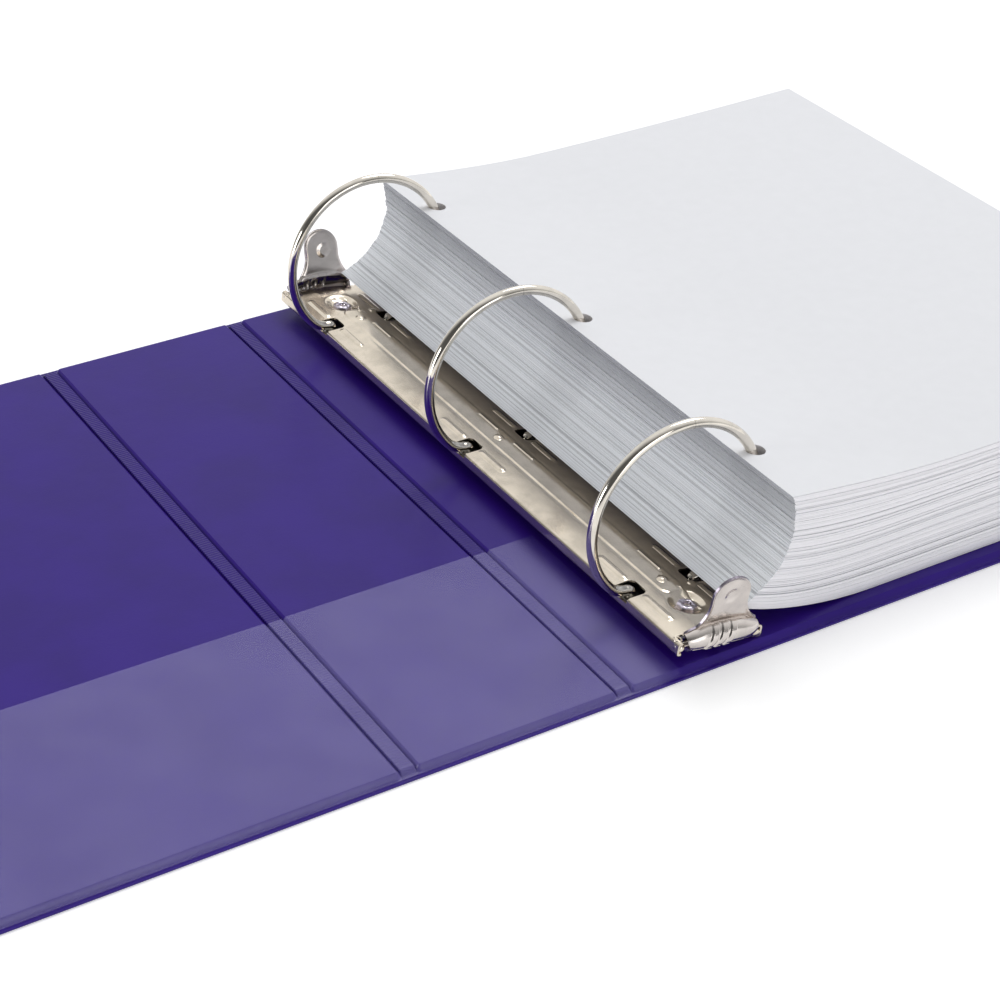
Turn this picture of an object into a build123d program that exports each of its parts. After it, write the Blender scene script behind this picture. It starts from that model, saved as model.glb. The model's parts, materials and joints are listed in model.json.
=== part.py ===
from build123d import *
import os
from math import acos, cos, degrees, radians, sin, tan

# Three-ring binder, letter size, lying open on a table with its sheets on the rings.
# X runs from the front cover to the fore edge of the back cover, Y along the spine and Z up.
# The origin is on the table, under the middle ring's centre. All sizes are in millimetres.

# ---- driving sizes: sheets ----
PUNCH_SPACING = 107.95
PUNCH_MARGIN = 31.75  # from an outer hole to the end of the sheet
PUNCH_RADIUS = 4.0
SHEET_WIDTH = 215.9
STACK_THICKNESS = 47.4
STACK_LIFT = 0.15  # air between the lowest sheet and the back cover
WIRE_SLACK = 0.2  # air between the wire and the side of the holes that hangs on it
STACK_TOP = (33.7, 5.3)  # the binding edge: angle round the ring, and depth inside the wire
STACK_WAIST = (-6.8, 8.7)
STACK_TOE = (-78.8, 11.4)
TOP_SAG = 1.0  # dip of the top sheet on its way to the fore edge
TOP_RISE = 80.0  # the top sheet comes down from the rings over this width
TOE_REACH = 62.0  # the lowest sheets come down to the cover over this width
FORE_LEAN = (2.5, 1.0, 1.0)  # how far the fore edge falls short of square: foot, middle, top

# ---- driving sizes: covers ----
END_OVERHANG = 7.2  # covers past the sheets, at each end
FORE_OVERHANG = 7.7  # covers past the sheets, at the fore edge
SKIN = 0.4
BOARD = 2.4
WELD_MARGIN = 2.5
HINGE_GAP = 7.0  # between the boards on the two sides of a fold
STRIP_WIDTH = 5.8
RIB_WIDTH = 1.5
RIB_HEIGHT = 0.7
CORNER_RADIUS = 4.0
POCKET_SHEET = 0.3
POCKET_DEPTH = 92.2
POCKET_UNDER_HOUSING = 8.0
HEADROOM = 9.2  # closed front cover above the rings
SPINE_CLEARANCE = 0.6  # folded spine to the open rings
RIB_SHORT = 2.5  # the rib ends before the cover's weld

# ---- driving sizes: ring mechanism, built upright and then leaned ----
LEAN = 7.0
RING_RADIUS = 34.65
WIRE_RADIUS = 1.9
RING_SINK = 0.85  # how far the full circle would dip under the housing's base
OPEN_HALF = 4.8  # blade angle either side of flat, in degrees
FLATTEN_RADIUS = 12.0
ELBOW_SLACK = 0.4  # elbow's radius more than the wire's
TIP_GAP = 0.05
NUB_RADIUS = 1.1
NUB_LENGTH = 1.5
NUB_TAPER = 0.4
TENON_RADIUS = 1.3
CLINCH_RADIUS = 2.2
CLINCH_HEIGHT = 0.5
FIT = 0.05

HOUSING_WIDTH = 36.0
RIVET_FROM_RING = 15.05
RIVET_FROM_END = 20.0
SHEET_STEEL = 0.8
SHOULDER_HEIGHT = 4.4
BAND_HEIGHT = 6.2
BAND_STEP = 0.5
BAND_HALF = 5.6
BAND_BEND = 0.6
BEND_RADIUS = 0.9
LIP = 2.8
TOP_SETBACK = 4.5  # the top stops short of the flanges, where the triggers sit
NOTCH_SIDE = 2.7  # room beside the wire
NOTCH_ROOM = 1.7  # room in front of the wire
NOTCH_AIR = 0.54  # room under the wire where it crosses the side wall
NOTCH_CORNER = 2.2
BEAD_RADIUS = 1.2
BEAD_LENGTH = 14.0
BEAD_RISE = 0.45
BEAD_INSET = 6.4
DIMPLE_RADIUS = 2.0
SEAT_GAP = 0.1

BLADE = 1.0
PIVOT_INSET = 1.8
PIVOT_HEIGHT = 2.3
BLADE_MEET = 0.15
BLADE_SHORT = 7.0  # from the blade's end to the housing's end

SHANK_RADIUS = 2.0
POST_RADIUS = 2.7
RIVET_HEAD_RADIUS = 6.0
RIVET_HEAD = 0.8
RIVET_RECESS = 0.2
RIVET_BORE = 1.5
FLARE_RADIUS = 3.4
FLARE_HEIGHT = 0.6
DISH_RADIUS = 6.6
DISH_FLOOR_RADIUS = 4.4
DISH_DEPTH = 1.8
BLADE_RELIEF = 5.6

TRIGGER_STEEL = 1.2
TRIGGER_FROM_END = 2.0
TRIGGER_AXIS_HEIGHT = 2.8
TRIGGER_INSET = 3.0  # from the housing's side to the lever's side
TRUNNION_RADIUS = 1.0
CHEEK = 1.2
CHEEK_RADIUS = 1.9
TAB_TOP = (4.6, 25.9)  # outwards from and above the trunnion's axis
TAB_BASE = (0.6, 7.0)
BULGE = (4.4, 2.4)
BULGE_END = (1.9, -1.6)
TAB_HALF = 6.4
TAB_SHOULDER = 5.5  # height of the tab's widest point above the axis
PRONG_REACH = 6.0
PRONG_TIP = 0.45
PRONG_BAR = 0.3
PRONG_HALF_WIDTH = 1.6
PRONG_AIR = 0.3
PRONG_SINK = (0.3, 0.8)  # the upper prong's root, in and down from the bulge's crest
TRIGGER_RIBS = (-2.6, 1.8)
RIB_RISE = 0.5

# ---- worked out ----
COVER = SKIN + BOARD + SKIN
AXIS_HEIGHT = COVER / 2
HALF_HOUSING = HOUSING_WIDTH / 2
HOUSING_END = PUNCH_SPACING + RIVET_FROM_RING + RIVET_FROM_END
SHEET_LENGTH = 2 * (PUNCH_SPACING + PUNCH_MARGIN)
COVER_HEIGHT = SHEET_LENGTH + 2 * END_OVERHANG
RING_Y = {"far": PUNCH_SPACING, "middle": 0.0, "near": -PUNCH_SPACING}
RING_CENTRE = RING_RADIUS - RING_SINK
MECH_X = -RING_CENTRE * sin(radians(LEAN))
MECH_Z = COVER + HALF_HOUSING * sin(radians(LEAN)) + SEAT_GAP
PIVOT_X = HALF_HOUSING - PIVOT_INSET
OPEN_ANGLE = 2 * OPEN_HALF
RIVET_Y = HOUSING_END - RIVET_FROM_END
TRIGGER_Y = HOUSING_END - TRIGGER_FROM_END
TRIGGER_HALF_WIDTH = HALF_HOUSING - TRIGGER_INSET
BLADE_END = HOUSING_END - BLADE_SHORT
ELBOW_RADIUS = WIRE_RADIUS + ELBOW_SLACK
NOTCH_HALF = WIRE_RADIUS + NOTCH_SIDE


def leaned(x, z):
    """Where a point of the upright mechanism, in its XZ plane, comes to lie in the binder."""
    a = radians(LEAN)
    return MECH_X + x * cos(a) + z * sin(a), MECH_Z - x * sin(a) + z * cos(a)


def swung(x, z, turn):
    """A point of the left rings after they have opened by turn degrees about their pivot."""
    a, dx, dz = radians(turn), x + PIVOT_X, z - PIVOT_HEIGHT
    return dx * cos(a) - dz * sin(a) - PIVOT_X, dx * sin(a) + dz * cos(a) + PIVOT_HEIGHT


def on_stack(angle, depth):
    """A point inside the rings, at an angle round their centre and a depth from the wire."""
    x, z = leaned(0, RING_CENTRE)
    r = RING_RADIUS - depth
    return x + r * cos(radians(angle)), z + r * sin(radians(angle))


RING_REACH = RING_RADIUS + WIRE_RADIUS
OPEN_CENTRE = leaned(*swung(0, RING_CENTRE, OPEN_ANGLE))
REAR_HINGE_X = OPEN_CENTRE[0] - RING_REACH - SPINE_CLEARANCE - (COVER - AXIS_HEIGHT)
RING_TOP = leaned(0, RING_CENTRE)[1] + RING_REACH
SPINE_WIDTH = RING_TOP + HEADROOM - 2 * AXIS_HEIGHT + (COVER - AXIS_HEIGHT)
FRONT_HINGE_X = REAR_HINGE_X - SPINE_WIDTH
COVER_WIDTH = on_stack(*STACK_TOP)[0] + SHEET_WIDTH + FORE_OVERHANG - REAR_HINGE_X


# ---- covers ----
def slab(x0, x1, y0, y1, z0, z1):
    """A block between two corners."""
    return Pos((x0 + x1) / 2, (y0 + y1) / 2, (z0 + z1) / 2) * Box(x1 - x0, y1 - y0, z1 - z0)


def panel(x0, x1, outer_left, outer_right):
    """Outer skin, board and liner of one cover panel, whose outer corners are rounded."""
    half = COVER_HEIGHT / 2
    skin = slab(x0, x1, -half, half, 0, SKIN)
    flange = slab(x0, x1, -half, half, SKIN, 2 * SKIN)
    corners = [x for x, outer in ((x0, outer_left), (x1, outer_right)) if outer]
    left = x0 + (WELD_MARGIN if outer_left else (HINGE_GAP - STRIP_WIDTH) / 2)
    right = x1 - (WELD_MARGIN if outer_right else (HINGE_GAP - STRIP_WIDTH) / 2)
    inner = half - WELD_MARGIN
    board = slab(left, right, -inner, inner, SKIN, SKIN + BOARD)
    wrap = slab(left - SKIN, right + SKIN, -inner - SKIN, inner + SKIN, SKIN, COVER)
    wrap = fillet(wrap.faces().sort_by(Axis.Z)[-1].edges(), SKIN)
    for x in corners:
        skin = round_corners(skin, x)
        flange = round_corners(flange, x)
    liner = (flange + wrap) - board
    return skin, board, liner


def round_corners(sheet, x):
    """Rounds the two upright edges of a sheet that stand at x."""
    edges = sheet.edges().filter_by(Axis.Z).filter_by(lambda e: abs(e.center().X - x) < 0.01)
    return fillet(edges, CORNER_RADIUS)


def hinge_strip(x):
    """Two vinyl layers welded flat between two panels, with a rib standing along the middle."""
    half = COVER_HEIGHT / 2
    strip = slab(x - STRIP_WIDTH / 2, x + STRIP_WIDTH / 2, -half, half, 0, 2 * SKIN)
    rib = slab(x - RIB_WIDTH / 2, x + RIB_WIDTH / 2, -half + RIB_SHORT, half - RIB_SHORT,
               2 * SKIN, 2 * SKIN + RIB_HEIGHT)
    rib = fillet(rib.faces().sort_by(Axis.Z)[-1].edges().filter_by(Axis.Y), RIB_HEIGHT / 2)
    return strip + rib


def pocket(x0, x1):
    """A clear sheet lying on the liner, open along its far edge."""
    near = -COVER_HEIGHT / 2 + WELD_MARGIN
    return slab(x0, x1, near, near + POCKET_DEPTH, COVER, COVER + POCKET_SHEET)


def covers():
    """Every piece of the three panels and the two folds between them."""
    fold = STRIP_WIDTH / 2
    edge = HINGE_GAP / 2
    front = panel(FRONT_HINGE_X - COVER_WIDTH, FRONT_HINGE_X - fold, True, False)
    spine = panel(FRONT_HINGE_X + fold, REAR_HINGE_X - fold, False, False)
    back = panel(REAR_HINGE_X + fold, REAR_HINGE_X + COVER_WIDTH, False, True)
    pieces = {}
    for name, (skin, board, liner) in {"front": front, "spine": spine, "back": back}.items():
        pieces[f"{name}_outer_skin"] = skin
        pieces[f"{name}_board"] = board
        pieces[f"{name}_liner"] = liner
    for y in (-RIVET_Y, RIVET_Y):
        x = rivet_x()
        head = Pos(x, y, (RIVET_RECESS + RIVET_HEAD) / 2) * Cylinder(
            RIVET_HEAD_RADIUS + FIT, RIVET_RECESS + RIVET_HEAD)
        shank = Pos(x, y, COVER / 2) * Cylinder(SHANK_RADIUS + FIT, 2 * COVER)
        for layer in ("outer_skin", "board", "liner"):
            pieces[f"back_{layer}"] = pieces[f"back_{layer}"] - head - shank
    pieces["front_hinge_strip"] = hinge_strip(FRONT_HINGE_X)
    pieces["rear_hinge_strip"] = hinge_strip(REAR_HINGE_X)
    housing_edge = leaned(-HALF_HOUSING, 0)[0]
    pieces["front_pocket"] = pocket(FRONT_HINGE_X - COVER_WIDTH + WELD_MARGIN, FRONT_HINGE_X - edge)
    pieces["spine_pocket"] = pocket(FRONT_HINGE_X + edge, REAR_HINGE_X - edge)
    pieces["back_pocket"] = pocket(REAR_HINGE_X + edge, housing_edge + POCKET_UNDER_HOUSING)
    return pieces


# ---- rings and blades ----
def bow_turn():
    """Degrees the ring's main arc turns before it flattens to land square on its blade."""
    d = radians(OPEN_HALF)
    reach = RING_RADIUS - FLATTEN_RADIUS
    across = (ELBOW_RADIUS * cos(d) + PIVOT_X) * sin(d)
    down = (RING_CENTRE - FLATTEN_RADIUS - ELBOW_RADIUS * (1 + sin(d)) - PIVOT_HEIGHT) * cos(d)
    return 180 - OPEN_HALF - degrees(acos((across + down - BLADE / 2) / reach))


def half_ring(socket):
    """A left half ring at y = 0: the bow, the flattened landing, the elbow and a clinched foot."""
    top = RING_CENTRE + RING_RADIUS
    bow = JernArc((0, top), (-1, 0), RING_RADIUS, bow_turn())
    landing = JernArc(bow @ 1, bow % 1, FLATTEN_RADIUS, 180 - bow_turn())
    elbow = JernArc(landing @ 1, landing % 1, ELBOW_RADIUS, -90 - OPEN_HALF)
    path = Plane.XZ * Wire([*bow.edges(), *landing.edges(), *elbow.edges()])
    wire = sweep(Plane((0, 0, top), z_dir=(-1, 0, 0)) * Circle(WIRE_RADIUS), path)
    wire = wire - Pos(0, 0, top) * Box(2 * TIP_GAP, 4 * WIRE_RADIUS, 4 * WIRE_RADIUS)
    foot = Plane(path @ 1, z_dir=path % 1)
    tenon = foot * Pos(0, 0, BLADE / 2) * Cylinder(TENON_RADIUS, BLADE)
    clinch = foot * Pos(0, 0, BLADE + CLINCH_HEIGHT / 2) * Cylinder(CLINCH_RADIUS, CLINCH_HEIGHT)
    wire = wire + tenon + clinch
    if socket:
        cone = Cone(NUB_RADIUS + FIT, NUB_RADIUS - NUB_TAPER + FIT, NUB_LENGTH + 4 * FIT)
        return wire - Pos(-(NUB_LENGTH + 4 * FIT) / 2, 0, top) * Rot(0, -90, 0) * cone
    nub = Cone(NUB_RADIUS, NUB_RADIUS - NUB_TAPER, NUB_LENGTH + TIP_GAP)
    return wire + Pos(NUB_LENGTH / 2 - TIP_GAP / 2, 0, top) * Rot(0, 90, 0) * nub


def foot():
    """Where a left ring's elbow ends, on the blade's upper face, as X and Z of the mechanism."""
    turn, d = radians(180 - bow_turn()), radians(OPEN_HALF)
    reach = RING_RADIUS - FLATTEN_RADIUS
    x = -reach * sin(turn) + ELBOW_RADIUS * cos(d)
    z = RING_CENTRE - FLATTEN_RADIUS - reach * cos(turn) - ELBOW_RADIUS * (1 + sin(d))
    return x, z


def notch_floor():
    """Height of the notch's bottom in the side wall, under the ring's flattened landing."""
    turn, reach = radians(180 - bow_turn()), RING_RADIUS - FLATTEN_RADIUS
    x, z = -reach * sin(turn), RING_CENTRE - reach * cos(turn)
    wall = min(abs(-HALF_HOUSING + SHEET_STEEL - x), FLATTEN_RADIUS)
    return z - ((FLATTEN_RADIUS + WIRE_RADIUS) ** 2 - wall**2) ** 0.5 - NOTCH_AIR


def foot_reach():
    """Distance along the blade from its pivot to the middle of a ring's foot."""
    x, z = foot()
    d = radians(OPEN_HALF)
    return (x + PIVOT_X) * cos(d) - (z - PIVOT_HEIGHT) * sin(d)


def blade():
    """The left hinge blade, closed: its round outer edge is the pivot, its inner edge is low."""
    width = PIVOT_X - BLADE_MEET
    plate = slab(0, width, -BLADE_END, BLADE_END, -BLADE / 2, BLADE / 2)
    plate = plate + Rot(90, 0, 0) * Cylinder(BLADE / 2, 2 * BLADE_END)
    for y in RING_Y.values():
        plate = plate - Pos(foot_reach(), y, 0) * Cylinder(TENON_RADIUS + FIT, 2 * BLADE)
    for y in (-RIVET_Y, RIVET_Y):
        plate = plate - Pos(PIVOT_X, y, 0) * Cylinder(BLADE_RELIEF, 2 * BLADE)
    return Pos(-PIVOT_X, 0, PIVOT_HEIGHT) * Rot(0, OPEN_HALF, 0) * plate


def rings():
    """Two blades and the six half rings clinched to them."""
    pieces = {"left_blade": lean(blade()), "right_blade": lean(mirror(blade(), about=Plane.YZ))}
    left, right = half_ring(False), mirror(half_ring(True), about=Plane.YZ)
    for name, y in RING_Y.items():
        pieces[f"{name}_ring_left"] = lean(Pos(0, y, 0) * left)
        pieces[f"{name}_ring_right"] = lean(Pos(0, y, 0) * right)
    return pieces


# ---- housing ----
def lean(shape):
    """Carries a piece of the upright mechanism to its leaning place on the back cover."""
    return Pos(MECH_X, 0, MECH_Z) * Rot(0, LEAN, 0) * shape


def channel():
    """The arched housing sheet: lips, flanges, sloping flanks and a raised middle band."""
    mid = SHEET_STEEL / 2
    side = HALF_HOUSING - mid
    right = [(side - LIP, mid), (side, mid), (side, SHOULDER_HEIGHT),
             (BAND_HALF + BAND_STEP, BAND_HEIGHT - BAND_STEP), (BAND_HALF, BAND_HEIGHT)]
    left = [(-x, z) for x, z in reversed(right)]
    radii = [BEND_RADIUS, BEND_RADIUS, BAND_BEND, BAND_BEND]
    line = FilletPolyline(*right, *left, radius=[*radii, *reversed(radii)])
    section = Plane.XZ * trace(line, SHEET_STEEL)
    return extrude(section, HOUSING_END, both=True)


def notch():
    """The cut that lets a left half ring through the flank down to its blade."""
    inner = foot()[0] + WIRE_RADIUS + NOTCH_ROOM
    cut = slab(-HALF_HOUSING - 1, inner, -NOTCH_HALF, NOTCH_HALF, notch_floor(), 2 * BAND_HEIGHT)
    edges = cut.edges().filter_by(Axis.Z).sort_by(Axis.X)[-2:]
    return fillet(edges, NOTCH_CORNER)


def dish():
    """Shallow drawn dish with a hole for a rivet, at the housing's middle line."""
    top, floor = BAND_HEIGHT, BAND_HEIGHT - DISH_DEPTH
    line = Polyline((DISH_RADIUS + SHEET_STEEL, top), (DISH_RADIUS, top), (DISH_FLOOR_RADIUS, floor),
                    (SHANK_RADIUS + 2 * FIT, floor))
    return revolve(Plane.XZ * trace(line, SHEET_STEEL), Axis.Z)


def flank_height(x):
    """Height of the flank's upper face at x from the middle line."""
    run = HALF_HOUSING - SHEET_STEEL / 2 - BAND_HALF - BAND_STEP
    rise = BAND_HEIGHT - BAND_STEP - SHOULDER_HEIGHT
    return SHOULDER_HEIGHT + rise * (HALF_HOUSING - SHEET_STEEL / 2 - x) / run + SHEET_STEEL / 2


def bead(x, y, z):
    """A rounded stiffening bead along Y, half sunk in the sheet."""
    bar = Rot(90, 0, 0) * Cylinder(BEAD_RADIUS, BEAD_LENGTH - 2 * BEAD_RADIUS)
    ends = [Pos(0, s * (BEAD_LENGTH / 2 - BEAD_RADIUS), 0) * Sphere(BEAD_RADIUS) for s in (-1, 1)]
    return Pos(x, y, z + BEAD_RISE - BEAD_RADIUS) * (bar + ends)


def housing():
    """The stamped cover plate of the mechanism, with its notches, dishes, beads and dimples."""
    plate = channel()
    room = HALF_HOUSING - 2 * SHEET_STEEL - FIT
    split = 2 * SHEET_STEEL  # a height between the lips and the top
    for y in RING_Y.values():
        cut = Pos(0, y, 0) * notch()
        plate = plate - cut - mirror(cut, about=Plane.YZ)
    for s in (-1, 1):
        top_cut = sorted((s * (HOUSING_END - TOP_SETBACK), s * (HOUSING_END + 1)))
        lip_cut = sorted((s * BLADE_END, s * (HOUSING_END + 1)))
        plate = plate - slab(-room, room, *top_cut, split, 2 * BAND_HEIGHT)
        plate = plate - slab(-room, room, *lip_cut, -1, split)
        plate = plate - Pos(0, s * RIVET_Y, BAND_HEIGHT) * Cylinder(DISH_RADIUS, 4 * SHEET_STEEL)
        plate = plate + Pos(0, s * RIVET_Y, 0) * dish()
        hole = Rot(0, 90, 0) * Cylinder(TRUNNION_RADIUS + FIT, HOUSING_WIDTH + 2)
        plate = plate - Pos(0, s * TRIGGER_Y, TRIGGER_AXIS_HEIGHT) * hole
    x = HALF_HOUSING - BEAD_INSET
    step = NOTCH_HALF + BEAD_LENGTH / 2 + BEAD_RADIUS
    inside = channel_inside()
    for y in RING_Y.values():
        for s in (-1, 1):
            for side in (-x, x):
                plate = plate + (bead(side, y + s * step, flank_height(x)) - inside)
        crown = BAND_HEIGHT + SHEET_STEEL / 2 + BEAD_RISE
        dimple = Pos(0, y, crown - DIMPLE_RADIUS) * Sphere(DIMPLE_RADIUS)
        plate = plate + (dimple - inside)
    return lean(plate)


def channel_inside():
    """The space under the sheet's middle surface, kept clear of beads and dimples."""
    side = HALF_HOUSING - SHEET_STEEL / 2
    right = [(side, -1), (side, SHOULDER_HEIGHT), (BAND_HALF + BAND_STEP, BAND_HEIGHT - BAND_STEP),
             (BAND_HALF, BAND_HEIGHT)]
    left = [(-x, z) for x, z in reversed(right)]
    return extrude(Plane.XZ * make_face(Polyline(*right, *left, close=True)), HOUSING_END, both=True)


# ---- rivets ----
def rivet_x():
    """Where the upright rivets stand, so that they meet the leaning dishes."""
    return leaned(0, BAND_HEIGHT - DISH_DEPTH)[0]


def rivet(y):
    """A tubular rivet: flush head under the cover, stepped post, and a flare rolled in the dish."""
    x = rivet_x()
    floor = BAND_HEIGHT - DISH_DEPTH
    reach = leaned(0, floor - SHEET_STEEL / 2)[1]
    slant = (POST_RADIUS + SHEET_STEEL) * tan(radians(LEAN))
    seat = reach - slant
    head_top = RIVET_RECESS + RIVET_HEAD
    head = Pos(x, y, (RIVET_RECESS + head_top) / 2) * Cylinder(RIVET_HEAD_RADIUS, RIVET_HEAD)
    shank_top = leaned(0, floor + SHEET_STEEL / 2)[1] + FLARE_HEIGHT / 2
    shank = Pos(x, y, (head_top + shank_top) / 2) * Cylinder(SHANK_RADIUS, shank_top - head_top)
    post = Pos(x, y, (COVER + seat) / 2) * Cylinder(POST_RADIUS, seat - COVER)
    flare = Pos(0, y, floor + SHEET_STEEL / 2 + FLARE_HEIGHT / 2) * Cylinder(FLARE_RADIUS, FLARE_HEIGHT)
    flare = fillet(flare.faces().sort_by(Axis.Z)[-1].edges(), FLARE_HEIGHT * 0.6)
    bore = Pos(x, y, shank_top) * Cylinder(RIVET_BORE, 2 * (shank_top - head_top - SKIN))
    return head + shank + post + lean(flare) - bore


# ---- triggers ----
def from_axis(u, v):
    """A point u outwards and v above the near trigger's axis, as Y and Z of the mechanism."""
    return -TRIGGER_Y - u, TRIGGER_AXIS_HEIGHT + v


def prong_tips():
    """Middles of the lower and upper prong tips, which straddle the blades' inner edges."""
    width = PIVOT_X - BLADE_MEET
    low = PIVOT_HEIGHT - width * sin(radians(OPEN_HALF)) - TRIGGER_AXIS_HEIGHT
    off = BLADE / 2 + PRONG_AIR + PRONG_TIP
    tilt = radians(trigger_travel() / 2)
    du, dv = -off * sin(tilt), off * cos(tilt)
    return (-PRONG_REACH - du, low - dv), (-PRONG_REACH + du, low + dv)


def trigger_travel():
    """Degrees a trigger turns while the blades go from closed to open."""
    lift = (PIVOT_X - BLADE_MEET) * sin(radians(OPEN_HALF))
    low = PIVOT_HEIGHT - lift - TRIGGER_AXIS_HEIGHT
    high = PIVOT_HEIGHT + lift - TRIGGER_AXIS_HEIGHT
    arm = (PRONG_REACH**2 + low**2) ** 0.5
    return degrees(acos(-low / arm)) * -1 + degrees(acos(-high / arm))


def tab_outline():
    """Front view of the trigger: a round thumb tab that flares into the full width."""
    wide, narrow = TRIGGER_HALF_WIDTH, TAB_HALF
    low = TRIGGER_AXIS_HEIGHT - TAB_SHOULDER
    flare = TRIGGER_AXIS_HEIGHT + TAB_SHOULDER
    crown = TRIGGER_AXIS_HEIGHT + TAB_TOP[1] - narrow
    foot = Polyline((-wide, flare), (-wide, low), (wide, low), (wide, flare))
    left = Spline((-wide, flare), (-narrow, crown), tangents=((1, 0.35), (0.15, 1)))
    right = Spline((wide, flare), (narrow, crown), tangents=((-1, 0.35), (-0.15, 1)))
    top = ThreePointArc((-narrow, crown), (0, crown + narrow), (narrow, crown))
    face = make_face([*foot.edges(), *left.edges(), *right.edges(), *top.edges()])
    return extrude(Plane.XZ * face, 2 * HOUSING_END, both=True)


def trigger():
    """The near trigger at rest: thumb tab, bulged crosspiece, cheeks, trunnions and two prongs."""
    tab = Line(from_axis(*TAB_TOP), from_axis(*TAB_BASE))
    bulge = ThreePointArc(from_axis(*TAB_BASE), from_axis(*BULGE), from_axis(*BULGE_END))
    sheet = Plane.YZ * (trace(tab, TRIGGER_STEEL) + trace(bulge, TRIGGER_STEEL))
    body = extrude(sheet, TRIGGER_HALF_WIDTH, both=True)
    seam = Rot(0, 90, 0) * Cylinder(TRIGGER_STEEL / 2, 2 * TRIGGER_HALF_WIDTH)
    body = (body + Pos(0, *from_axis(*TAB_BASE)) * seam) & tab_outline()
    for x in TRIGGER_RIBS:
        rib = extrude(Plane.YZ * trace(bulge, TRIGGER_STEEL + 2 * RIB_RISE), TRIGGER_STEEL / 2, both=True)
        body = body + Pos(x, 0, 0) * rib
    chord = Line(from_axis(*BULGE_END), from_axis(*TAB_BASE))
    moon = make_face([*bulge.edges(), *chord.edges()]) + Pos(*from_axis(0, 0)) * Circle(CHEEK_RADIUS)
    corners = [(0, CHEEK_RADIUS), TAB_BASE, BULGE_END, (0, -CHEEK_RADIUS)]
    moon = moon + make_face(Polyline(*[from_axis(*c) for c in corners], close=True))
    for s in (-1, 1):
        cheek = extrude(Plane.YZ * moon, CHEEK / 2, both=True)
        body = body + Pos(s * (TRIGGER_HALF_WIDTH - CHEEK / 2), 0, 0) * cheek
        reach = HALF_HOUSING - TRIGGER_HALF_WIDTH
        pin = Rot(0, 90, 0) * Cylinder(TRUNNION_RADIUS, reach)
        body = body + Pos(s * (TRIGGER_HALF_WIDTH + reach / 2), *from_axis(0, 0)) * pin
    upper_root = (BULGE[0] - PRONG_SINK[0], BULGE[1] - PRONG_SINK[1])
    for tip, root in zip(prong_tips(), (BULGE_END, upper_root)):
        bar = trace(Line(from_axis(*tip), from_axis(*root)), 2 * PRONG_BAR)
        prong = bar + Pos(*from_axis(*tip)) * Circle(PRONG_TIP)
        body = body + extrude(Plane.YZ * prong, PRONG_HALF_WIDTH, both=True)
    return body


# ---- sheets ----
def paper_stack():
    """The punched sheets as one block: bowed binding edge, sagging left part, square far part."""
    top, waist, toe = on_stack(*STACK_TOP), on_stack(*STACK_WAIST), on_stack(*STACK_TOE)
    floor = COVER + STACK_LIFT
    level = floor + STACK_THICKNESS
    fore_foot, fore_middle, fore_top = (SHEET_WIDTH - gap for gap in FORE_LEAN)
    binding = ThreePointArc(toe, waist, top)
    crest = Spline(top, (top[0] + TOP_RISE, level - TOP_SAG), (top[0] + fore_top, level),
                   tangents=((1, -0.12), (1, 0.02)))
    fore_toe = (toe[0] + fore_foot, floor)
    fore = ThreePointArc(fore_toe, (waist[0] + fore_middle, floor + STACK_THICKNESS / 2), crest @ 1)
    bed_end = (toe[0] + TOE_REACH, floor)
    sag = Spline(toe, bed_end, tangents=((1, -0.42), (1, 0)))
    bed = Line(bed_end, fore_toe)
    edges = [e for piece in (binding, crest, fore, bed, sag) for e in piece.edges()]
    block = extrude(Plane.XZ * make_face(edges), SHEET_LENGTH / 2, both=True)
    x, z = leaned(0, RING_CENTRE)
    x += PUNCH_RADIUS - WIRE_RADIUS - WIRE_SLACK
    for y in RING_Y.values():
        punched = Rot(90, 0, 0) * Torus(RING_RADIUS, PUNCH_RADIUS)
        block = block - Pos(x, y, z) * punched
    return block


def build():
    """Every piece of the binder, by name."""
    pieces = {**covers(), **rings()}
    pieces["housing_plate"] = housing()
    pieces["near_rivet"] = rivet(-RIVET_Y)
    pieces["far_rivet"] = rivet(RIVET_Y)
    lever = trigger()
    pieces["near_trigger"] = lean(lever)
    pieces["far_trigger"] = lean(mirror(lever, about=Plane.XZ))
    pieces["paper_stack"] = paper_stack()
    return pieces


if __name__ == "__main__":
    os.makedirs("parts", exist_ok=True)
    for name, shape in build().items():
        export_step(shape, f"parts/{name}.step")
        print(name, round(shape.volume, 1))
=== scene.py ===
"""Looks for a three-ring binder that lies open with its sheets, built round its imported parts."""

import json
import logging
import math
from dataclasses import dataclass
from enum import Enum
from typing import Callable, Dict, List, Optional, Sequence, Tuple, Union

import bpy
import numpy as np
from mathutils import Matrix, Vector


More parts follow.
